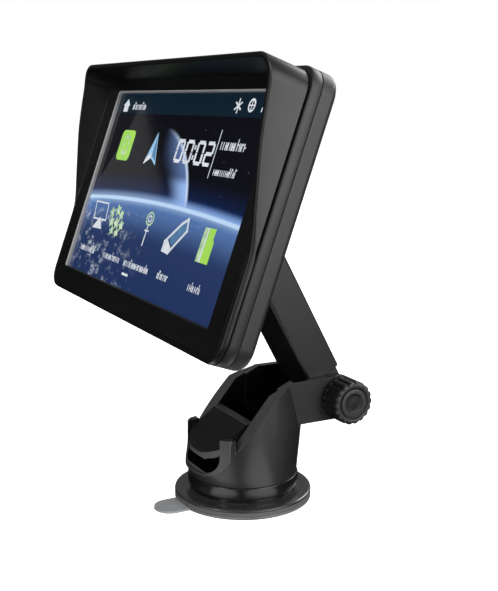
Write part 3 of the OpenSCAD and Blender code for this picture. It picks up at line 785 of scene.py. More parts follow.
@dataclass
class ScreenModule:
    """The case with its hood, the middle frame, the rear cover and the touch glass."""

    width: float = 183.2
    height: float = 108.6
    radius: float = 9.0
    middle: float = -0.8
    wall: float = 2.2
    hood_inset: float = 2.0
    gap_front: float = -1.7
    frame_front: float = -2.7
    frame_back: float = -7.0
    seam: float = -4.4
    back: float = -14.0
    window: Point = (155.0, 87.0)
    glass: Point = (166.0, 97.0)
    raised: Point = (128.0, 74.0)
    post_r: float = 3.0
    head_r: float = 2.4
    screw_r: float = 1.3
    port_deep: float = 3.2
    grille: Point = (-38.0, -12.0)
    grille_r: float = 12.0
    grille_step: float = 3.0
    side_steps: int = 40
    lip: tuple[Point, ...] = (
        (-56, 0), (-15, 0), (-11, 0.8), (0, 3.8), (11, 6.8),
        (21, 9.5), (30.5, 11.3), (43.5, 13.4), (50.5, 16), (60, 16),
    )

    def outline(self, inset: float, z: float, top: float = 0.0, detailed: bool = False) -> Ring:
        """Returns the case's outline.

        Args:
            inset: distance inside the case's edge.
            z: height of the ring.
            top: how much lower the top edge sits.
            detailed: whether the right and left sides have many points.
        """
        sides = (self.side_steps, 1, self.side_steps, 1) if detailed else (1, 1, 1, 1)
        size = (self.width - 2 * inset, self.height - top - 2 * inset)
        return rounded(*size, max(self.radius - inset, 1.0), z, (0, self.middle - top / 2), 10, sides)

    def lip_height(self, y: float) -> float:
        """Returns the height of the hood's lip at a height on the screen."""

        def line(at: float) -> float:
            """Returns the height on the plain polyline."""
            for (y0, z0), (y1, z1) in zip(self.lip, self.lip[1:]):
                if at <= y1:
                    return z0 + (z1 - z0) * max(at - y0, 0) / (y1 - y0)
            return self.lip[-1][1]

        return sum(line(y + step) for step in (-3, -1.5, 0, 1.5, 3)) / 5

    def lip_ring(self, inset: float, drop: float) -> Ring:
        """Returns a ring along the hood's lip.

        Args:
            inset: distance inside the hood's outer face.
            drop: how far below the lip's crown it lies, on the wings; the bottom edge is rounder.
        """
        ring = self.outline(inset, 0.0, self.hood_inset, True)
        for point in ring:
            height = self.lip_height(point.y)
            share = 1 - min(max(height / 3.0, 0.0), 1.0)
            point.z = height - drop * (1 + 1.6 * share)
        return ring

    def hood(self, shop: Workshop) -> None:
        """Makes the front moulding: foot, hood, lip, inner walls, window and the lips behind it."""
        half, steps = self.wall, self.side_steps

        def opening(size: Point, more: float, r: float, z: float) -> Ring:
            """Returns a rectangle a little larger than a size, with as many points as the outline."""
            return rounded(size[0] + more, size[1] + more, r, z, (0, 0), 10, (steps, 1, steps, 1))

        window = opening(self.window, 0, 1.0, -0.5)
        window_top = opening(self.window, 1, 1.5, 0.0)
        seat = opening(self.window, 0, 1.0, GLASS_TOP)
        pocket = [opening(self.glass, 0.6, 1.5, z) for z in (GLASS_TOP, self.seam)]
        spigot = [self.outline(self.wall + 0.15, z, 0, True) for z in (self.seam, self.gap_front)]
        foot = self.outline(0.5, self.gap_front, self.hood_inset, True)
        skin = Loft(foot)
        low = self.outline(0.0, self.gap_front + 0.35, self.hood_inset, True)
        crown = ((0.0, 0.75), (0.12, 0.38), (0.45, 0.1), (0.85, 0.0), (half - 0.35, 0.0), (half - 0.1, 0.12))
        skin.to(low, *(self.lip_ring(inset, drop) for inset, drop in crown))
        inner = self.outline(half, 0.0, self.hood_inset, True)
        for point, top in zip(inner, self.lip_ring(half, 0.35)):
            point.z = max(0.02, top.z)
        foot_curve = ((0.02, 0.6), (0.3, 0.15), (0.9, 0.0))
        wall_foot = [self.outline(half + reach, z, self.hood_inset, True) for reach, z in foot_curve]
        for point, top in zip(wall_foot[0], inner):
            point.z = min(point.z, top.z)
        skin.to(inner, *wall_foot, window_top, window, seat, *pocket, *spigot)
        bm = skin.close()

        def paint(at: Vector, normal: Vector) -> int:
            """Picks the reveal's left and top, painted pale as a highlight; the groove, painted black as
            shade; the lip's crown, painted lighter as a highlight; or the plain case.
            """
            reach, rise = self.window[0] / 2, self.window[1] / 2
            # Painted highlight: the reveal's left and top get the pale finish, while its right and bottom
            # keep the case's.
            if abs(at.x) < reach + 0.3 and abs(at.y) < rise + 0.3 and at.z > GLASS_TOP - 0.1:
                return 1 if at.x < 1 - reach or at.y > rise - 1 else 0
            # Painted shade: the spigot seen in the groove gets the near-black finish.
            if at.z < self.gap_front + 0.01 and at.z > self.seam + 0.1:
                return 2
            # Painted highlight: the up-facing crown of the lip gets the lighter finish.
            inside = self.width / 2 - abs(at.x)
            top = self.middle + self.height / 2 - self.hood_inset - at.y
            on_lip = abs(at.z - self.lip_height(at.y)) < 0.42 and min(inside, top) < 1.2 and at.z > 0.6
            return 3 if on_lip and normal.z > 0.35 else 0

        finishes = (CASE, REVEAL_HIGHLIGHT, GROOVE_SHADE, CASE_LIP_HIGHLIGHT)
        shop.piece("hood", bm, Group.SCREEN, "screen", finishes, ("hood_bezel",), angle=38, paint=paint)

    def band(self, shop: Workshop) -> None:
        """Makes the middle frame between the two grooves."""
        rings = [self.outline(inset, z) for inset, z in (
            (0.45, self.frame_front), (0.12, self.frame_front - 0.14), (0.0, self.frame_front - 0.5),
            (0.0, self.frame_back + 0.4), (0.15, self.frame_back + 0.08), (0.35, self.frame_back + 0.01),
            (self.wall, self.frame_back + 0.01), (self.wall, self.frame_front))]
        bm = Loft(rings[0]).to(*rings[1:]).close()
        shop.piece(
            "frame_band", bm, Group.SCREEN, "screen", (SATIN,), ("middle_frame",), "case_satin", angle=50
        )

    def rear(self, shop: Workshop) -> None:
        """Makes the rear cover with its raised middle, ports, speaker slots and screw recesses."""
        outer = [self.outline(inset, z) for inset, z in (
            (0.35, self.frame_back), (0.1, self.frame_back - 0.12), (0.0, self.frame_back - 0.45),
            (0.0, self.back + 2.6), (0.18, self.back + 1.7), (0.75, self.back + 0.8), (1.6, self.back + 0.22),
            (2.7, self.back))]
        w, h = self.raised
        raised = [rounded(w - 2 * i, h - 2 * i, 8 - i * 0.6, self.back - rise, (0, 0), 10) for i, rise in (
            (-0.8, 0), (0.0, 0.25), (2.2, 3.1), (2.6, 3.55), (3.3, 3.88), (4.2, 4.0))]
        inside = [rounded(w - 10, h - 10, 4, z, (0, 0), 10) for z in (self.back - 2.2, self.back + 1.8)]
        wall = [self.outline(self.wall, z) for z in (self.back + 1.8, self.frame_back)]
        rings = (*raised[-2::-1], *outer[::-1], *wall[::-1], *inside[::-1])
        bm = tidy(Loft(raised[-1], True).to(*rings).fill().bm)
        posts, screws = [], []
        across, up = self.width / 2 - self.wall - 3.7, self.height / 2 - 10.3
        for sx, sy in CORNERS:
            at = Matrix.Translation((sx * across, self.middle + sy * up, 0))
            posts.append(rod(self.post_r, self.back + 1, self.seam, 32, at))
            screws.append(rod(self.head_r, self.back - 1, self.back + 2.2, 32, at))
            screws.append(rod(self.screw_r, self.back, -3, 24, at))
        bm = combine(bm, posts, "UNION")

        def side(z: float) -> Matrix:
            """Returns the axes of a port in the left edge, at a height."""
            return Matrix.Translation((-self.width / 2 - 1, 0, z)) @ Matrix.Rotation(math.pi / 2, 4, "Y")

        jacks, deep = side(self.frame_back - 2.9), self.port_deep
        ports = [rod(2.45, 0, deep, 32, jacks @ Matrix.Translation((0, y, 0))) for y in (-8, 4)]
        ports.append(slab(3.7, 9.5, 1.8, 0, deep, (0, -22)))
        ports[-1].transform(jacks)
        for low, high, half, z in ((10.75, 23.25, 0.85, -9.6), (28.3, 37.7, 1.8, -9.3)):
            ports.append(slab(2 * half, high - low, min(half, 0.8) - 0.02, 0, deep, (0, (low + high) / 2)))
            ports[-1].transform(side(z))
        slots = []
        for index in range(-3, 4):
            shift = self.grille_step * index
            reach = math.sqrt(self.grille_r ** 2 - shift ** 2) - 1.5
            slots.append(slab(1.2, 2 * reach, 0.55, -19, -15, (self.grille[0] + shift, self.grille[1]), 5))
        spots = [Matrix.Translation((sx * 18, -5 + sy * 12, 0)) for sx, sy in CORNERS]
        plate_screws = [rod(self.screw_r, -22, -14, 24, spot) for spot in spots]
        bm = combine(bm, [*screws, *ports, *slots, *plate_screws])
        shop.piece(
            "rear_shell", bm, Group.SCREEN, "screen", (SATIN, SATIN_EDGE_HIGHLIGHT), ("rear_cover",),
            edge=0.22, angle=35, segments=2,
        )

    def display(self, shop: Workshop) -> None:
        """Makes the touch glass with its lit picture."""
        w, h = self.glass
        skin = Loft(rounded(w, h, 1.5, GLASS_TOP - GLASS_THICK, (0, 0), 6), True)
        for less, r, z in ((0, 1.5, GLASS_TOP - 0.15), (0.3, 1.35, GLASS_TOP)):
            skin.to(rounded(w - less, h - less, r, z, (0, 0), 6))
        skin.fill()
        picture = DisplayPicture("display_picture", shop.place[Group.SCREEN], (78.6, 44.6))
        shop.piece(
            "display_glass", tidy(skin.bm), Group.SCREEN, "screen", (picture,), ("touch_glass",),
            "screen_glass", angle=30,
        )


@dataclass
class DisplayMarks:
    """The generic marks that the display shows: clock digits, plain symbols and greeked words."""

    rise: float = 0.02
    white: Lit = Lit("mark_white", (0.86, 0.9, 0.95), (0.7, 0.76, 0.84), 0.85)
    green: Lit = Lit("mark_green", (0.42, 0.8, 0.09), (0.36, 0.72, 0.12), 0.9, 5)
    pale_green: Lit = Lit("mark_pale_green", (0.66, 0.9, 0.5), (0.4, 0.62, 0.36), 0.8, 3)
    sky: Lit = Lit("mark_sky", (0.42, 0.74, 0.98), (0.3, 0.6, 0.92), 0.85, 6)
    steel: Lit = Lit("mark_steel", (0.09, 0.22, 0.42), (0.14, 0.32, 0.55), 0.8, 6)
    shapes: dict[str, list[BMesh]] = field(default_factory=dict)

    def flat(self, colour: str, points: Sequence[Point], level: int = 1) -> None:
        """Adds a thin flat polygon to one colour's marks, on a level above the glass."""
        foot = GLASS_TOP + self.rise * (level - 1)
        self.shapes.setdefault(colour, []).append(prism(points, foot + 0.002, foot + self.rise))

    def bar(self, colour: str, start: Point, end: Point, wide: float, level: int = 1) -> None:
        """Adds a straight bar between two points."""
        along = Vector((end[0] - start[0], end[1] - start[1])).normalized() * wide / 2
        side = Vector((-along.y, along.x))
        first, last = Vector(start) - along, Vector(end) + along
        corners = (first - side, last - side, last + side, first + side)
        self.flat(colour, [tuple(corner) for corner in corners], level)

    def outline(self, colour: str, points: Sequence[Point], wide: float) -> None:
        """Adds bars round a closed polygon."""
        for start, end in zip(points, [*points[1:], points[0]]):
            self.bar(colour, start, end, wide)

    def loop(
        self, colour: str, middle: Point, r: float, wide: float, count: int = 14, flat: float = 1.0
    ) -> None:
        """Adds a ring of bars."""
        turns = [2 * math.pi * i / count for i in range(count)]
        spots = [(middle[0] + r * math.cos(a), middle[1] + flat * r * math.sin(a)) for a in turns]
        self.outline(colour, spots, wide)

    def digit(self, text: str, left: float, bottom: float, w: float, h: float, wide: float) -> None:
        """Adds one digit, 0 or 2, made of seven bars."""
        half, top = bottom + h / 2, bottom + h
        right, gap = left + w, wide * 0.62
        bars = {
            "a": ((left + gap, top), (right - gap, top)),
            "b": ((right, half + gap), (right, top - gap)),
            "c": ((right, bottom + gap), (right, half - gap)),
            "d": ((left + gap, bottom), (right - gap, bottom)),
            "e": ((left, bottom + gap), (left, half - gap)),
            "f": ((left, half + gap), (left, top - gap)),
            "g": ((left + gap, half), (right - gap, half)),
        }
        for key in {"0": "abcdef", "2": "abged"}[text]:
            self.bar("white", *bars[key], wide)

    def word(self, left: float, right: float, bottom: float, h: float, seed: int) -> None:
        """Adds a greeked word: short strokes of varied height that stand for letters."""
        step, wide, x, turn, count = h * 0.42, h * 0.13, left, seed, 0
        while x < right - 0.3:
            count += 1
            turn = (turn * 5 + 3 * count * count + seed) % 11
            tall = h if turn > 7 else h * 0.66
            self.bar("white", (x, bottom + 0.3), (x, bottom + tall), wide)
            if turn % 3:
                level = bottom + tall * (0.1, 0.55, 0.9)[turn % 3]
                self.bar("white", (x + 0.2, level), (x + step * 0.55, level), wide)
            if turn % 2:
                second = x + step * 0.6
                self.bar("white", (second, bottom + 0.3), (second, bottom + h * 0.6), wide)
            x += step

    def top_bar(self) -> None:
        """Draws the house, its caption and the three status symbols."""
        self.flat("white", [
            (-69.8, 34.4), (-64.6, 34.4), (-64.6, 37.4), (-63.4, 37.4),
            (-67.2, 40.6), (-71, 37.4), (-69.8, 37.4),
        ])
        self.word(-58.6, -44.0, 35.4, 3.6, 4)
        for turn in range(3):
            angle = math.radians(30 + 60 * turn)
            dx, dy = 2.6 * math.cos(angle), 2.6 * math.sin(angle)
            self.bar("white", (45.1 - dx, 38.1 - dy), (45.1 + dx, 38.1 + dy), 0.8)
        self.loop("white", (55.6, 38.4), 2.3, 0.8)
        self.bar("white", (55.6, 36.4), (55.6, 40.4), 0.5)
        self.bar("white", (53.6, 38.4), (57.6, 38.4), 0.5)
        for index in range(4):
            self.bar("white", (64 + 1.5 * index, 36.2), (64 + 1.5 * index, 37.2 + index), 0.7)

    def arrow_and_tile(self) -> None:
        """Draws the green tile and the heading arrow."""
        sizes = ((15.4, 14.4, 2.6, 18.4, 5), (6.2, 9.4, 1.4, 18.4, 4), (4.4, 6.0, 0.6, 18.8, 3))
        tile, screen, inner = (
            [(p.x, p.y) for p in rounded(w, h, r, 0, (-53.4, y), arc)] for w, h, r, y, arc in sizes
        )
        self.flat("green", tile)
        self.flat("pale_green", screen, 2)
        self.flat("green", inner, 3)
        self.flat("sky", [(-20.5, 25.6), (-20.6, 13.9), (-14.0, 11.0)])
        self.flat("sky", [(-20.7, 25.6), (-27.2, 10.9), (-20.8, 13.9)])
        self.flat("steel", [(-20.2, 24.2), (-20.1, 15.0), (-15.4, 12.8)], 2)
        self.flat("white", [(-27.2, 10.9), (-20.7, 13.9), (-20.7, 16.6), (-25.8, 14.0)], 3)

    def clock(self) -> None:
        """Draws the clock, a line, and two greeked words beside it."""
        for text, left in zip("0002", (3.4, 12.0, 22.2, 30.4)):
            self.digit(text, left, 14.2, 5.6, 8.6, 1.5)
        for up in (16.4, 20.6):
            self.bar("white", (19.9, up - 0.3), (19.9, up + 0.3), 1.3)
        self.bar("white", (38.4, 9.3), (38.4, 28.2), 0.5)
        self.word(41.4, 61.5, 20.6, 4.4, 5)
        self.word(41.8, 60.6, 10.4, 3.4, 2)

    def symbols(self) -> None:
        """Draws the five symbols in a row: a screen, leaves, a mast, a stick and a card."""
        self.outline("white", [(-67, -9.9), (-51.6, -9.7), (-49.4, -17.6), (-64.6, -17.9)], 0.7)
        self.flat("white", [(-63.4, -22.4), (-51.6, -22.0), (-57.0, -16.6)], 2)
        for x, y, size in (
            (-44, -13, 3.2), (-38, -11.6, 3.4), (-33, -13.4, 3.0), (-42, -17.2, 3.3),
            (-36, -17.4, 3.5), (-30, -17.8, 3.1), (-39, -21, 2.8), (-33, -21.4, 2.8),
        ):
            leaf = []
            for index in range(10):
                angle, odd = math.tau * index / 10, index % 2
                along, up = math.cos(angle) * (0.55 + 0.45 * odd), math.sin(angle) * (0.5 + 0.4 * odd)
                leaf.append((x + size * along, y + size * up))
            self.flat("pale_green", leaf)
            vein = ((-0.3, -0.2), (0.25, -0.3), (0.1, 0.35))
            self.flat("white", [(x + size * dx, y + size * dy) for dx, dy in vein], 2)
        self.loop("pale_green", (-1.6, -11.6), 3.4, 0.8, 12, 0.8)
        self.loop("white", (-1.6, -11.6), 1.6, 0.7, 10, 0.8)
        self.bar("white", (-1.6, -14.2), (-1.9, -23.0), 0.9)
        self.bar("white", (-3.4, -16.8), (0.2, -16.8), 0.7)
        stick = [(33.9, -8.0), (35.4, -12.6), (24.4, -22.8), (18.6, -22.4), (18.7, -18.8), (29.6, -10.2)]
        self.outline("white", stick, 1.3)
        self.flat("white", [(18.6, -22.4), (24.4, -22.8), (25.6, -20.6), (20.6, -17.4), (18.7, -18.8)], 2)
        self.flat("steel", [(32.9, -9.6), (33.9, -12.6), (26.0, -19.6), (22.4, -17.6), (30.0, -10.8)], 2)
        self.flat("green", [
            (49.8, -9.2), (58.8, -9.0), (58.4, -13.0), (59.6, -14.2), (59.4, -22.6), (49.2, -22.6)])
        self.flat("pale_green", [(49.8, -9.2), (52.4, -9.15), (51.8, -22.6), (49.2, -22.6)], 2)
        self.flat("white", [(52.4, -9.15), (53.4, -9.12), (53.0, -22.6), (51.8, -22.6)], 3)

    def captions(self) -> None:
        """Draws a greeked word under each symbol, and the page dash."""
        spans = ((-69.5, -51.2, 2), (-39.1, -19.9, 5), (-14.6, 10.9, 7), (21.5, 31.2, 4), (50.3, 60.8, 6))
        for left, right, seed in spans:
            self.word(left, right, -34.0, 3.5, seed)
        self.bar("white", (-12.6, -37.3), (-7.1, -37.3), 1.1)

    def build(self, shop: Workshop) -> None:
        """Makes one piece for each colour of mark."""
        for draw in (self.top_bar, self.arrow_and_tile, self.clock, self.symbols, self.captions):
            draw()
        for colour, parts in self.shapes.items():
            joined = bmesh.new()
            for part in parts:
                mesh = bpy.data.meshes.new("part")
                part.to_mesh(mesh)
                part.free()
                joined.from_mesh(mesh)
                bpy.data.meshes.remove(mesh)
            finish = getattr(self, colour)
            shop.piece(f"display_{colour}", joined, Group.SCREEN, "screen", (finish,), (), "screen_glass")


@dataclass
class BallMount:
    """The plate on the rear cover, the ball joint's nut and the socket on the arm."""

    def build(self, shop: Workshop) -> None:
        """Makes the pieces from the CAD shapes with rounded edges."""
        black = (ARM_BLACK, ARM_EDGE_HIGHLIGHT)
        shop.copy("ball_plate", "mount_plate", "screen", black, "case_black", 0.4)
        shop.copy("ball_nut", "clamp_nut", "nut", (GRIP, GRIP_EDGE_HIGHLIGHT), "grip_black", 0.35)
        shop.copy("arm_head", "arm_extension", "extension", black, "arm_black", 0.4)


@dataclass
class Arm:
    """The outer tube of the arm with its hinge barrel."""

    width: float = 27.6
    depth: float = 17.0
    wall: float = 2.0
    start: float = 11.2
    end: float = 76.0
    corner: float = 1.6
    barrel_r: float = 8.6
    barrel_half: float = 13.15
    bore_r: float = 2.55

    def build(self, shop: Workshop) -> None:
        """Makes the tube: outer skin, barrel and neck, then the bore and the spring's window."""
        start, end, double = self.start, self.end, 2 * self.wall
        skin = Loft(rounded(self.width - 1.2, self.depth - 1.2, 1.2, start), True)
        for less, r, z in (
            (0.3, 1.5, start + 0.25), (0, self.corner, start + 0.8), (0, self.corner, end - 0.5),
            (0.3, 1.5, end - 0.12), (0.8, 1.3, end), (double, 0.6, end), (double, 0.6, start + 5),
        ):
            skin.to(rounded(self.width - less, self.depth - less, r, z))
        skin.fill()
        across = Matrix.Rotation(math.pi / 2, 4, "Y")
        barrel = rod(self.barrel_r, -self.barrel_half, self.barrel_half, 64, across)
        neck = slab(2 * self.barrel_half, 2 * self.barrel_r - 3.2, 0.6, 0.0, self.start + 1)
        bm = combine(tidy(skin.bm), [barrel, neck], "UNION")
        window = slab(8.4, 2.3, 0.3, self.end - 10.5, self.end - 2.5, (0, self.depth / 2 - self.wall + 0.15))
        bm = combine(bm, [rod(self.bore_r, -20, 20, 48, across), window])
        shop.piece(
            "arm_tube_shell", bm, Group.ARM, "arm", (ARM_BLACK, ARM_EDGE_HIGHLIGHT), ("arm_tube",), "arm_black",
            0.3, 38, 2,
        )


@dataclass
class HandKnob:
    """The clamp knob on the hinge bolt."""

    start: float = 18.3
    length: float = 11.3
    radius: float = 10.0
    grips: int = 18
    grip_depth: float = 0.5
    bore_r: float = 2.5

    def groove(self, angle: float) -> float:
        """Returns how far the side sinks at an angle: a row of round grooves."""
        turn = (angle * self.grips / math.tau) % 1.0
        across = min(turn, 1 - turn) / 0.27
        return -self.grip_depth * math.sqrt(max(0.0, 1 - across * across)) if across < 1 else 0.0

    def build(self, shop: Workshop) -> None:
        """Makes the knob: grooved side, rounded rim and a dished end with a ring."""
        count = self.grips * 16

        def ring(r: float, z: float, depth: float = 0.0) -> Ring:
            """Returns a ring whose grooves have a share of their depth."""
            wave = (lambda angle: depth * self.groove(angle)) if depth else None
            return round_ring(r, self.start + z, count, wave)

        skin = Loft(ring(self.bore_r, 5.5), True).to(ring(self.bore_r, 0.0))
        for less, z, *depth in (
            (0.5, 0.0), (0.1, 0.15), (0, 0.5), (0, 1.4), (0, 1.7, 0.7), (0, 2.1, 1.0),
            (0, self.length - 1.3, 1.0), (0.25, self.length - 0.7, 1.0), (0.7, self.length - 0.22, 0.8),
        ):
            skin.to(ring(self.radius - less, z, *depth))
        skin.to(ring(self.radius - 1.15, self.length, 0.35))
        for less, sunk in (
            (2.3, 0.0), (2.5, 0.12), (2.7, 0.6), (3.3, 0.66), (3.55, 0.15),
            (3.9, 0.04), (5.4, 0.12), (5.8, 0.55), (6.4, 0.7), (8.8, 0.32),
        ):
            skin.to(ring(self.radius - less, self.length - sunk))
        skin.fill()
        face = self.start + self.length - 0.3
        # Painted highlight: faces of the end that look out along the bolt get the lighter grip finish.
        shop.piece(
            "hand_knob", tidy(skin.bm), Group.HINGE, "knob", (GRIP, GRIP_FACE_HIGHLIGHT), ("hinge_knob",), "grip_black",
            angle=42, paint=lambda at, normal: int(at.z > face and normal.z > 0.8),
        )


@dataclass
class SuctionBase:
    """The housing, its lever, the glossy ring, the cup and the gel layer."""

    ring_r: float = 25.2
    ring_z: Point = (6.6, 12.0)
    neck_r: float = 23.4
    cup_r: float = 31.2
    rim: float = 4.5
    gel: float = 1.2
    tab_r: float = 7.2
    tab_reach: float = 12.5
    slopes: tuple[float, ...] = (50.0, 24.0)
    bay_half: float = 16.0
    notch_r: float = 8.0
    notch_z: float = 17.0
    rim_top: float = 33.5
    drum_r: float = 24.3
    drum_y: float = -1.9

    def housing(self, shop: Workshop) -> None:
        """Makes the housing and the lever with rounded edges."""

        def paint(at: Vector, normal: Vector) -> int:
            """Picks the cheeks' sloping strips, painted lighter as a highlight; the inside, painted near
            black as shade; or the plain housing.
            """
            # Painted highlight: faces on the up-facing slopes get the lighter strip finish.
            for slope in self.slopes:
                lean = Vector((0, -math.sin(math.radians(slope)), math.cos(math.radians(slope))))
                if normal.dot(lean) > 0.995:
                    return 2
            # Painted shade: the bay's inward faces get the near-black finish.
            inside = abs(at.x) < self.bay_half + 0.5 and at.z > 16.5 and at.y > -21
            facing_in = abs(normal.x) < 0.3 or normal.x * at.x < 0
            return 3 if inside and facing_in and normal.z > -0.9 else 0

        shell = (BASE, BASE_EDGE_HIGHLIGHT, STRIP_HIGHLIGHT, INNER_SHADE)
        shop.copy("base_shell", "base_housing", "base", shell, "base_grey", 0.5, 30, paint=paint)

        def paint_lever(at: Vector, normal: Vector) -> int:
            """Picks the top behind the dish and the underside, painted dark as shade; the front lip, painted
            pale as a highlight; or the plain tongue.
            """
            # Painted highlight: the scalloped front lip gets the pale finish.
            if at.y < -18 and normal.y < -0.5 and normal.z < 0.25:
                return 1
            # Painted shade: the top behind the dish and the faces that look down get the near-black finish.
            return 2 if at.y > -9 or normal.z < -0.2 else 0

        tongue = (LEVER, LEVER_LIP_HIGHLIGHT, INNER_SHADE)
        shop.copy(
            "lever_tongue", "suction_lever", "lever", tongue, "base_grey", 0.55, 30,
            paint=paint_lever, edge_finish=-1,
        )
        self.rim_band(shop)

    def rim_band(self, shop: Workshop) -> None:
        """Makes the raised band around the notch: a U-shaped strip wrapped on the round front."""
        outer, inner = [], []
        for angle in (math.radians(a) for a in range(180, 361, 12)):
            outer.append((math.cos(angle) * (self.notch_r + 3.4), math.sin(angle) * (self.notch_r + 1.3)))
            inner.append((math.cos(angle) * (self.notch_r + 0.35), math.sin(angle) * (self.notch_r + 0.35)))
        low = self.notch_z + self.notch_r
        spread = self.bay_half - self.notch_r
        path = []
        for points in (outer, inner[::-1]):
            run = [(x + math.copysign(spread, x) if abs(x) > 1e-6 else x, low + z) for x, z in points]
            ends = [(run[0][0], self.rim_top), *run, (run[-1][0], self.rim_top)]
            path += ends
        band = prism([(x, -z) for x, z in path], 0, 40)
        band.transform(Matrix.Rotation(math.pi / 2, 4, "X"))
        if min(vert.co.z for vert in band.verts) < 0:
            band.transform(Matrix.Diagonal((1, 1, -1, 1)))
        bmesh.ops.recalc_face_normals(band, faces=band.faces)
        outside, inside = self.drum_r + 0.3, self.drum_r - 1.4
        tube = lathe([(outside, 10), (outside, 40), (inside, 40), (inside, 10), (outside, 10)], 128)
        tube.transform(Matrix.Translation((0, self.drum_y, 0)))
        bm = combine(tube, [band], "INTERSECT")
        shop.piece("notch_rim", bm, Group.WORLD, "base", (RIM, BASE_EDGE_HIGHLIGHT), (), "base_grey", 0.25, 35, 2)

    def collar(self, shop: Workshop) -> None:
        """Makes the glossy ring, hollow underneath, with bores for its screws."""
        (low, high), r, neck = self.ring_z, self.ring_r, self.neck_r
        profile = [
            (13.0, 7.9), (13.0, high - 0.3), (13.3, high), (r - 0.7, high), (r - 0.2, high - 0.2),
            (r, high - 0.7), (r, low + 0.6), (r - 0.2, low + 0.15), (r - 0.6, low), (neck + 0.2, low),
            (neck, low - 0.2), (neck, self.rim + 0.2), (neck - 0.2, self.rim), (19.5, self.rim),
            (19.5, 7.9), (13.0, 7.9),
        ]
        bm = lathe(profile, 128)
        holes = []
        for index in range(3):
            at = Matrix.Rotation(math.radians(90 + 120 * index), 4, "Z") @ Matrix.Translation((16, 0, 0))
            holes += [rod(1.25, 0, 14, 24, at), rod(2.4, 0, 8.6, 32, at)]
        shop.piece(
            "collar_ring", combine(bm, holes), Group.WORLD, "base", (GLOSS, GLOSS_EDGE_HIGHLIGHT), ("base_ring",),
            "ring_gloss", 0.12, 40, 2,
        )

    def cup(self, shop: Workshop) -> None:
        """Makes the cup's flange, its soft middle, and the gel with its pull tab."""
        g, rim, r = self.gel, self.rim, self.cup_r
        flange = lathe([
            (16.95, g + 0.01), (r - 0.3, g + 0.01), (r - 0.05, g + 0.2), (r, g + 0.6), (r, 3.1),
            (r - 0.3, 3.2), (r - 0.3, 3.5), (r, 3.6), (r, rim - 0.8), (r - 0.15, rim - 0.3),
            (r - 0.6, rim - 0.02), (r - 1.4, rim), (26.4, rim), (25.9, rim - 0.12), (25.4, rim),
            (16.95, rim), (16.95, g + 0.01),
        ], 160)
        shop.piece(
            "cup_flange", flange, Group.WORLD, "base", (FLANGE, FLANGE_FOOT), ("suction_cup",), "cup_rubber",
            angle=40, paint=lambda at, normal: int(at.z < 3.15),
        )
        middle = lathe([
            (0, g + 0.01), (16.9, g + 0.01), (16.9, rim), (14.5, 4.56), (12.3, 4.56), (12.1, 4.12),
            (0, 4.12),
        ], 96)
        disc = shop.piece(
            "cup_middle", middle, Group.WORLD, "base", (RUBBER,), ("suction_cup",), "cup_rubber", angle=40
        )
        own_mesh(disc)
        side = ((r - 0.4, 0), (r - 0.1, 0.15), (r, 0.5), (r, g - 0.25), (r - 0.2, g))
        pad = lathe([(0, 0), *side, (0, g)], 160)
        tip = -r - self.tab_reach + self.tab_r
        turns = [math.radians(180 + 7.5 * i) for i in range(25)]
        outline = [(self.tab_r * math.cos(a), tip + self.tab_r * math.sin(a)) for a in turns]
        tab = prism([*outline, (self.tab_r, -r + 3), (-self.tab_r, -r + 3)], 0.06, g - 0.12)
        bm = combine(pad, [tab], "UNION")
        shop.piece(
            "gel_layer_piece", bm, Group.WORLD, "base", (GEL_DISC, GEL_TAB), ("gel_pad",), "gel_clear",
            angle=40, paint=lambda at, normal: int(at.y < -r + 0.4 and abs(at.x) < self.tab_r + 0.1),
        )


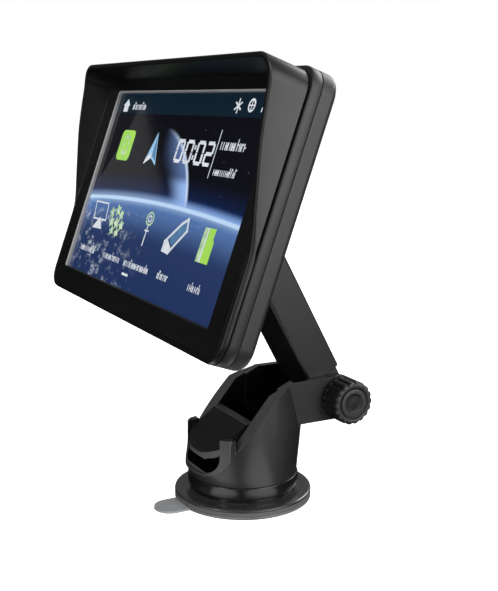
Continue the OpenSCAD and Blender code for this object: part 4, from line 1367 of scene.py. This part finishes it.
@dataclass
class InnerParts:
    """Finishes for the CAD pieces that keep their own shape."""

    finishes: dict[str, "Finish"] = field(default_factory=lambda: {
        "glass_gasket": Plastic("gasket_foam", (0.012, 0.012, 0.012), 0.8, 0.6, 0.05),
        "lcd_panel": Plastic("panel_layers", (0.03, 0.033, 0.04), 0.25, 2.0, 0.01),
        "backlight_tray": Metal("pressed_tray", (0.6, 0.61, 0.62), 0.36),
        "main_board": Board("board_lacquer"),
        "rf_shield": Metal("tin_shield", (0.68, 0.69, 0.7), 0.32, (900.0, 5200.0, 900.0)),
        "speaker": Plastic("speaker_cone", (0.02, 0.02, 0.021), 0.6, 0.8, 0.08),
        "gnss_antenna": Plastic("fired_ceramic", (0.6, 0.56, 0.47), 0.6, 0.9, 0.03),
        "wifi_antenna": Plastic("copper_film", (0.35, 0.16, 0.03), 0.3, 0.9, 0.02),
        "microphone": Metal("microphone_can", (0.7, 0.6, 0.38), 0.35),
        "usb_socket": Metal("socket_shell", (0.66, 0.67, 0.68), 0.25),
        "aux_socket": Plastic("jack_body_a", (0.008, 0.008, 0.008), 0.35, 0.6, 0.02),
        "camera_socket": Plastic("jack_body_b", (0.009, 0.008, 0.008), 0.35, 0.6, 0.02),
        "card_socket": Metal("card_cage", (0.63, 0.64, 0.65), 0.3),
        "power_switch": Metal("switch_can", (0.55, 0.56, 0.57), 0.3),
        "power_button": Plastic("button_cap", (0.025, 0.025, 0.027), 0.4, 0.4, 0.02),
        "board_screws": Metal("dark_screw_a", (0.12, 0.12, 0.125), 0.35),
        "case_screws": Metal("dark_screw_b", (0.12, 0.12, 0.125), 0.35),
        "plate_screws": Metal("bright_screw", (0.5, 0.5, 0.52), 0.3),
        "ball_stud": Plastic("ball_plastic", (0.013, 0.013, 0.014), 0.22, 0.5, 0.006),
        "ball_seat": Plastic("white_acetal", (0.55, 0.53, 0.48), 0.45, 0.8, 0.02),
        "slide_pads": Plastic("pad_acetal", (0.6, 0.58, 0.54), 0.5, 0.8, 0.03),
        "detent_spring": Metal("spring_leaf", (0.6, 0.6, 0.6), 0.25),
        "hinge_washers": Metal("flat_washer", (0.45, 0.45, 0.46), 0.35),
        "hinge_bolt": Metal("bolt_steel", (0.55, 0.55, 0.57), 0.28),
        "hinge_nut": Metal("nut_steel", (0.5, 0.5, 0.52), 0.3),
        "lever_pin": Metal("pin_steel", (0.6, 0.6, 0.62), 0.22),
        "suction_stem": Metal("stem_steel", (0.55, 0.55, 0.57), 0.3),
        "return_spring": Metal("spring_wire", (0.6, 0.6, 0.62), 0.25),
        "ring_screws": Metal("dark_screw_c", (0.12, 0.12, 0.125), 0.35),
    })

    def build(self, shop: Workshop) -> None:
        """Dresses each kept CAD piece."""
        for name, finish in self.finishes.items():
            dress(shop.frame["nodes"][name], finish)
            log.info("%s keeps its shape", name)


@dataclass
class Studio:
    """The camera, the pale floor, the world and the lights."""

    eye: tuple[float, float, float] = (0.3826, -0.2057, 0.1777)
    azimuth: float = 61.43
    elevation: float = 11.048
    roll: float = 0.365
    lens: float = 60.69
    sheen: tuple[Point, ...] = ((-53, 46), (7, 0), (-14, -8), (-92, -8), (-92, 46))
    sheen_level: float = 0.22

    def camera(self) -> Object:
        """Creates the camera and makes it the scene's camera."""
        az, el, roll = (math.radians(a) for a in (self.azimuth, self.elevation, self.roll))
        back = Vector((math.sin(az) * math.cos(el), -math.cos(az) * math.cos(el), math.sin(el)))
        right = Vector((math.cos(az), math.sin(az), 0))
        up = back.cross(right)
        turned = right * math.cos(roll) + up * math.sin(roll)
        upright = up * math.cos(roll) - right * math.sin(roll)
        data = bpy.data.cameras.new("camera")
        data.sensor_width, data.lens, data.sensor_fit = 36.0, self.lens, "AUTO"
        data.clip_start, data.clip_end = 0.01, 20.0
        item = bpy.data.objects.new("camera", data)
        turn = Matrix((turned, upright, back)).transposed().to_4x4()
        item.matrix_world = Matrix.Translation(self.eye) @ turn
        bpy.context.scene.collection.objects.link(item)
        bpy.context.scene.camera = item
        return item

    def lamp(
        self, name: str, at: Sequence[float], target: Sequence[float], size: Point, power: float
    ) -> None:
        """Adds a soft rectangular light.

        Args:
            name: its name.
            at: its place in metres.
            target: the point it faces.
            size: its two sides in metres.
            power: its power in watts.
        """
        data = bpy.data.lights.new(name, "AREA")
        data.shape, data.size, data.size_y, data.energy = "RECTANGLE", size[0], size[1], power
        item = bpy.data.objects.new(name, data)
        item.location = at
        item.rotation_euler = (Vector(target) - Vector(at)).to_track_quat("-Z", "Y").to_euler()
        bpy.context.scene.collection.objects.link(item)

    def card(self, name: str, corners: Sequence[Sequence[float]], brightness: float) -> None:
        """Adds a flat studio card that only reflections see.

        Args:
            name: its name.
            corners: its corners in metres, in order round it.
            brightness: how bright it is: 0 is a black card.
        """
        bm = bmesh.new()
        bm.faces.new([bm.verts.new(corner) for corner in corners])
        mesh = bpy.data.meshes.new(name)
        bm.to_mesh(mesh)
        bm.free()
        item = bpy.data.objects.new(name, mesh)
        bpy.context.scene.collection.objects.link(item)
        s = Shader(name)
        mesh.materials.append(s.surface(
            Base_Color=(0, 0, 0, 1), Roughness=1.0, Specular_IOR_Level=0.0, Emission_Color=WHITE,
            Emission_Strength=brightness,
        ))
        item.visible_camera = item.visible_shadow = item.visible_diffuse = item.visible_transmission = False

    def wall_card(self, name: str, at: Sequence[float], wide: float, high: float, brightness: float) -> None:
        """Adds an upright card that faces the object.

        Args:
            name: its name.
            at: the middle of its foot in metres.
            wide: its width.
            high: its height.
            brightness: how bright it is.
        """
        foot = Vector(at)
        side = Vector((-foot.y, foot.x, 0)).normalized() * wide / 2
        up = Vector((0, 0, high))
        self.card(name, [foot - side, foot + side, foot + side + up, foot - side + up], brightness)

    def floor_cards(self) -> None:
        """Lays a black card with two pale strips round the foot, for the ring to mirror."""
        corners = [(1.5 * x, 1.5 * y, 0.0002) for x, y in ((-1, -1), (1, -1), (1, 1), (-1, 1))]
        self.card("dark_floor_card", corners, 0.0)
        for name, turn, wide in (("strip_card_a", 23.4, 0.034), ("strip_card_b", 99.4, 0.04)):
            heading, half = math.radians(turn), math.radians((turn + self.azimuth) / 2)
            along = Vector((math.sin(heading), -math.cos(heading), 0))
            side = Vector((-along.y, along.x, 0)) * wide / 2
            start = Vector((math.sin(half), -math.cos(half), 0)) * 0.025 + Vector((0, 0, 0.0004))
            near, far = start + along * 0.016, start + along * 0.1
            self.card(name, [near - side, near + side, far + side * 1.3, far - side * 1.3], 2.0)

    def glass_card(self, glass: Matrix) -> None:
        """Adds a pale card whose mirror image lies on the upper left of the glass.

        Args:
            glass: the screen's axes.
        """
        out, origin = glass.to_3x3().col[2], glass.to_translation()
        mirrored = Vector(self.eye) - 2 * (Vector(self.eye) - origin).dot(out) * out
        spots = [glass @ Vector((x * MM, y * MM, -1.8 * MM)) for x, y in self.sheen]
        corners = [spot + (spot - mirrored).normalized() * 0.5 for spot in spots]
        self.card("glass_card", corners, self.sheen_level)

    def build(self, glass: Matrix) -> None:
        """Makes the floor, the world and the lights.

        Args:
            glass: the screen's axes.
        """
        bm = bmesh.new()
        bmesh.ops.create_grid(bm, x_segments=8, y_segments=8, size=6.0)
        mesh = bpy.data.meshes.new("floor")
        bm.to_mesh(mesh)
        bm.free()
        floor = bpy.data.objects.new("floor", mesh)
        bpy.context.scene.collection.objects.link(floor)
        s = Shader("floor_paint")
        tone = s.mix((0.86, 0.86, 0.86), (0.9, 0.9, 0.9), s.noise(300, 2))
        seen = s.node("ShaderNodeLightPath", output="Is Camera Ray")
        mesh.materials.append(s.surface(
            Base_Color=tone, Roughness=0.9, Specular_IOR_Level=0.1, Emission_Color=WHITE,
            Emission_Strength=0.04 + seen * 0.85,
        ))
        world = bpy.data.worlds.new("studio")
        bpy.context.scene.world = world
        world.use_nodes = True
        nodes, links = world.node_tree.nodes, world.node_tree.links
        path = nodes.new("ShaderNodeLightPath")
        blend = nodes.new("ShaderNodeMix")
        blend.data_type = "FLOAT"
        blend.inputs[2].default_value, blend.inputs[3].default_value = 0.2, 1.0
        links.new(path.outputs["Is Camera Ray"], blend.inputs[0])
        links.new(blend.outputs[0], nodes["Background"].inputs["Strength"])
        nodes["Background"].inputs["Color"].default_value = WHITE
        for name, at, target_height, size, watts in (
            ("key_light", (0.9, -0.75, 1.3), 0.1, (0.7, 0.7), 14),
            ("side_light", (1.4, 0.35, 0.55), 0.12, (0.3, 1.0), 6),
            ("rear_light", (-0.3, 1.3, 0.9), 0.1, (1.2, 0.6), 15),
            ("left_strip", (0.35, -1.0, 0.32), 0.03, (0.14, 0.6), 2.2),
            ("right_strip", (1.05, 0.14, 0.3), 0.03, (0.14, 0.55), 2.2),
        ):
            self.lamp(name, at, (0, 0, target_height), size, watts)
        self.wall_card("dark_card", (-0.62, -0.42, -0.24), 0.9, 0.8, 0.0)
        self.wall_card("side_card", (0.62, 0.28, 0.0), 0.5, 0.6, 3.6)
        self.floor_cards()
        self.glass_card(glass)


def main() -> None:
    """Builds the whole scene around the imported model, one group after another."""
    logging.basicConfig(level=logging.INFO, format="%(message)s")
    bpy.context.scene.view_settings.view_transform = "Standard"
    studio = Studio()
    studio.camera()
    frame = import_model()
    shop = Workshop(frame, places(frame["joints"]))
    InnerParts().build(shop)
    case = ScreenModule()
    case.hood(shop)
    case.band(shop)
    case.rear(shop)
    case.display(shop)
    DisplayMarks().build(shop)
    BallMount().build(shop)
    Arm().build(shop)
    HandKnob().build(shop)
    base = SuctionBase()
    base.housing(shop)
    base.collar(shop)
    base.cup(shop)
    studio.build(shop.place[Group.SCREEN])
    log.info("%d pieces made", len(shop.made))


if __name__ == "__main__":
    main()
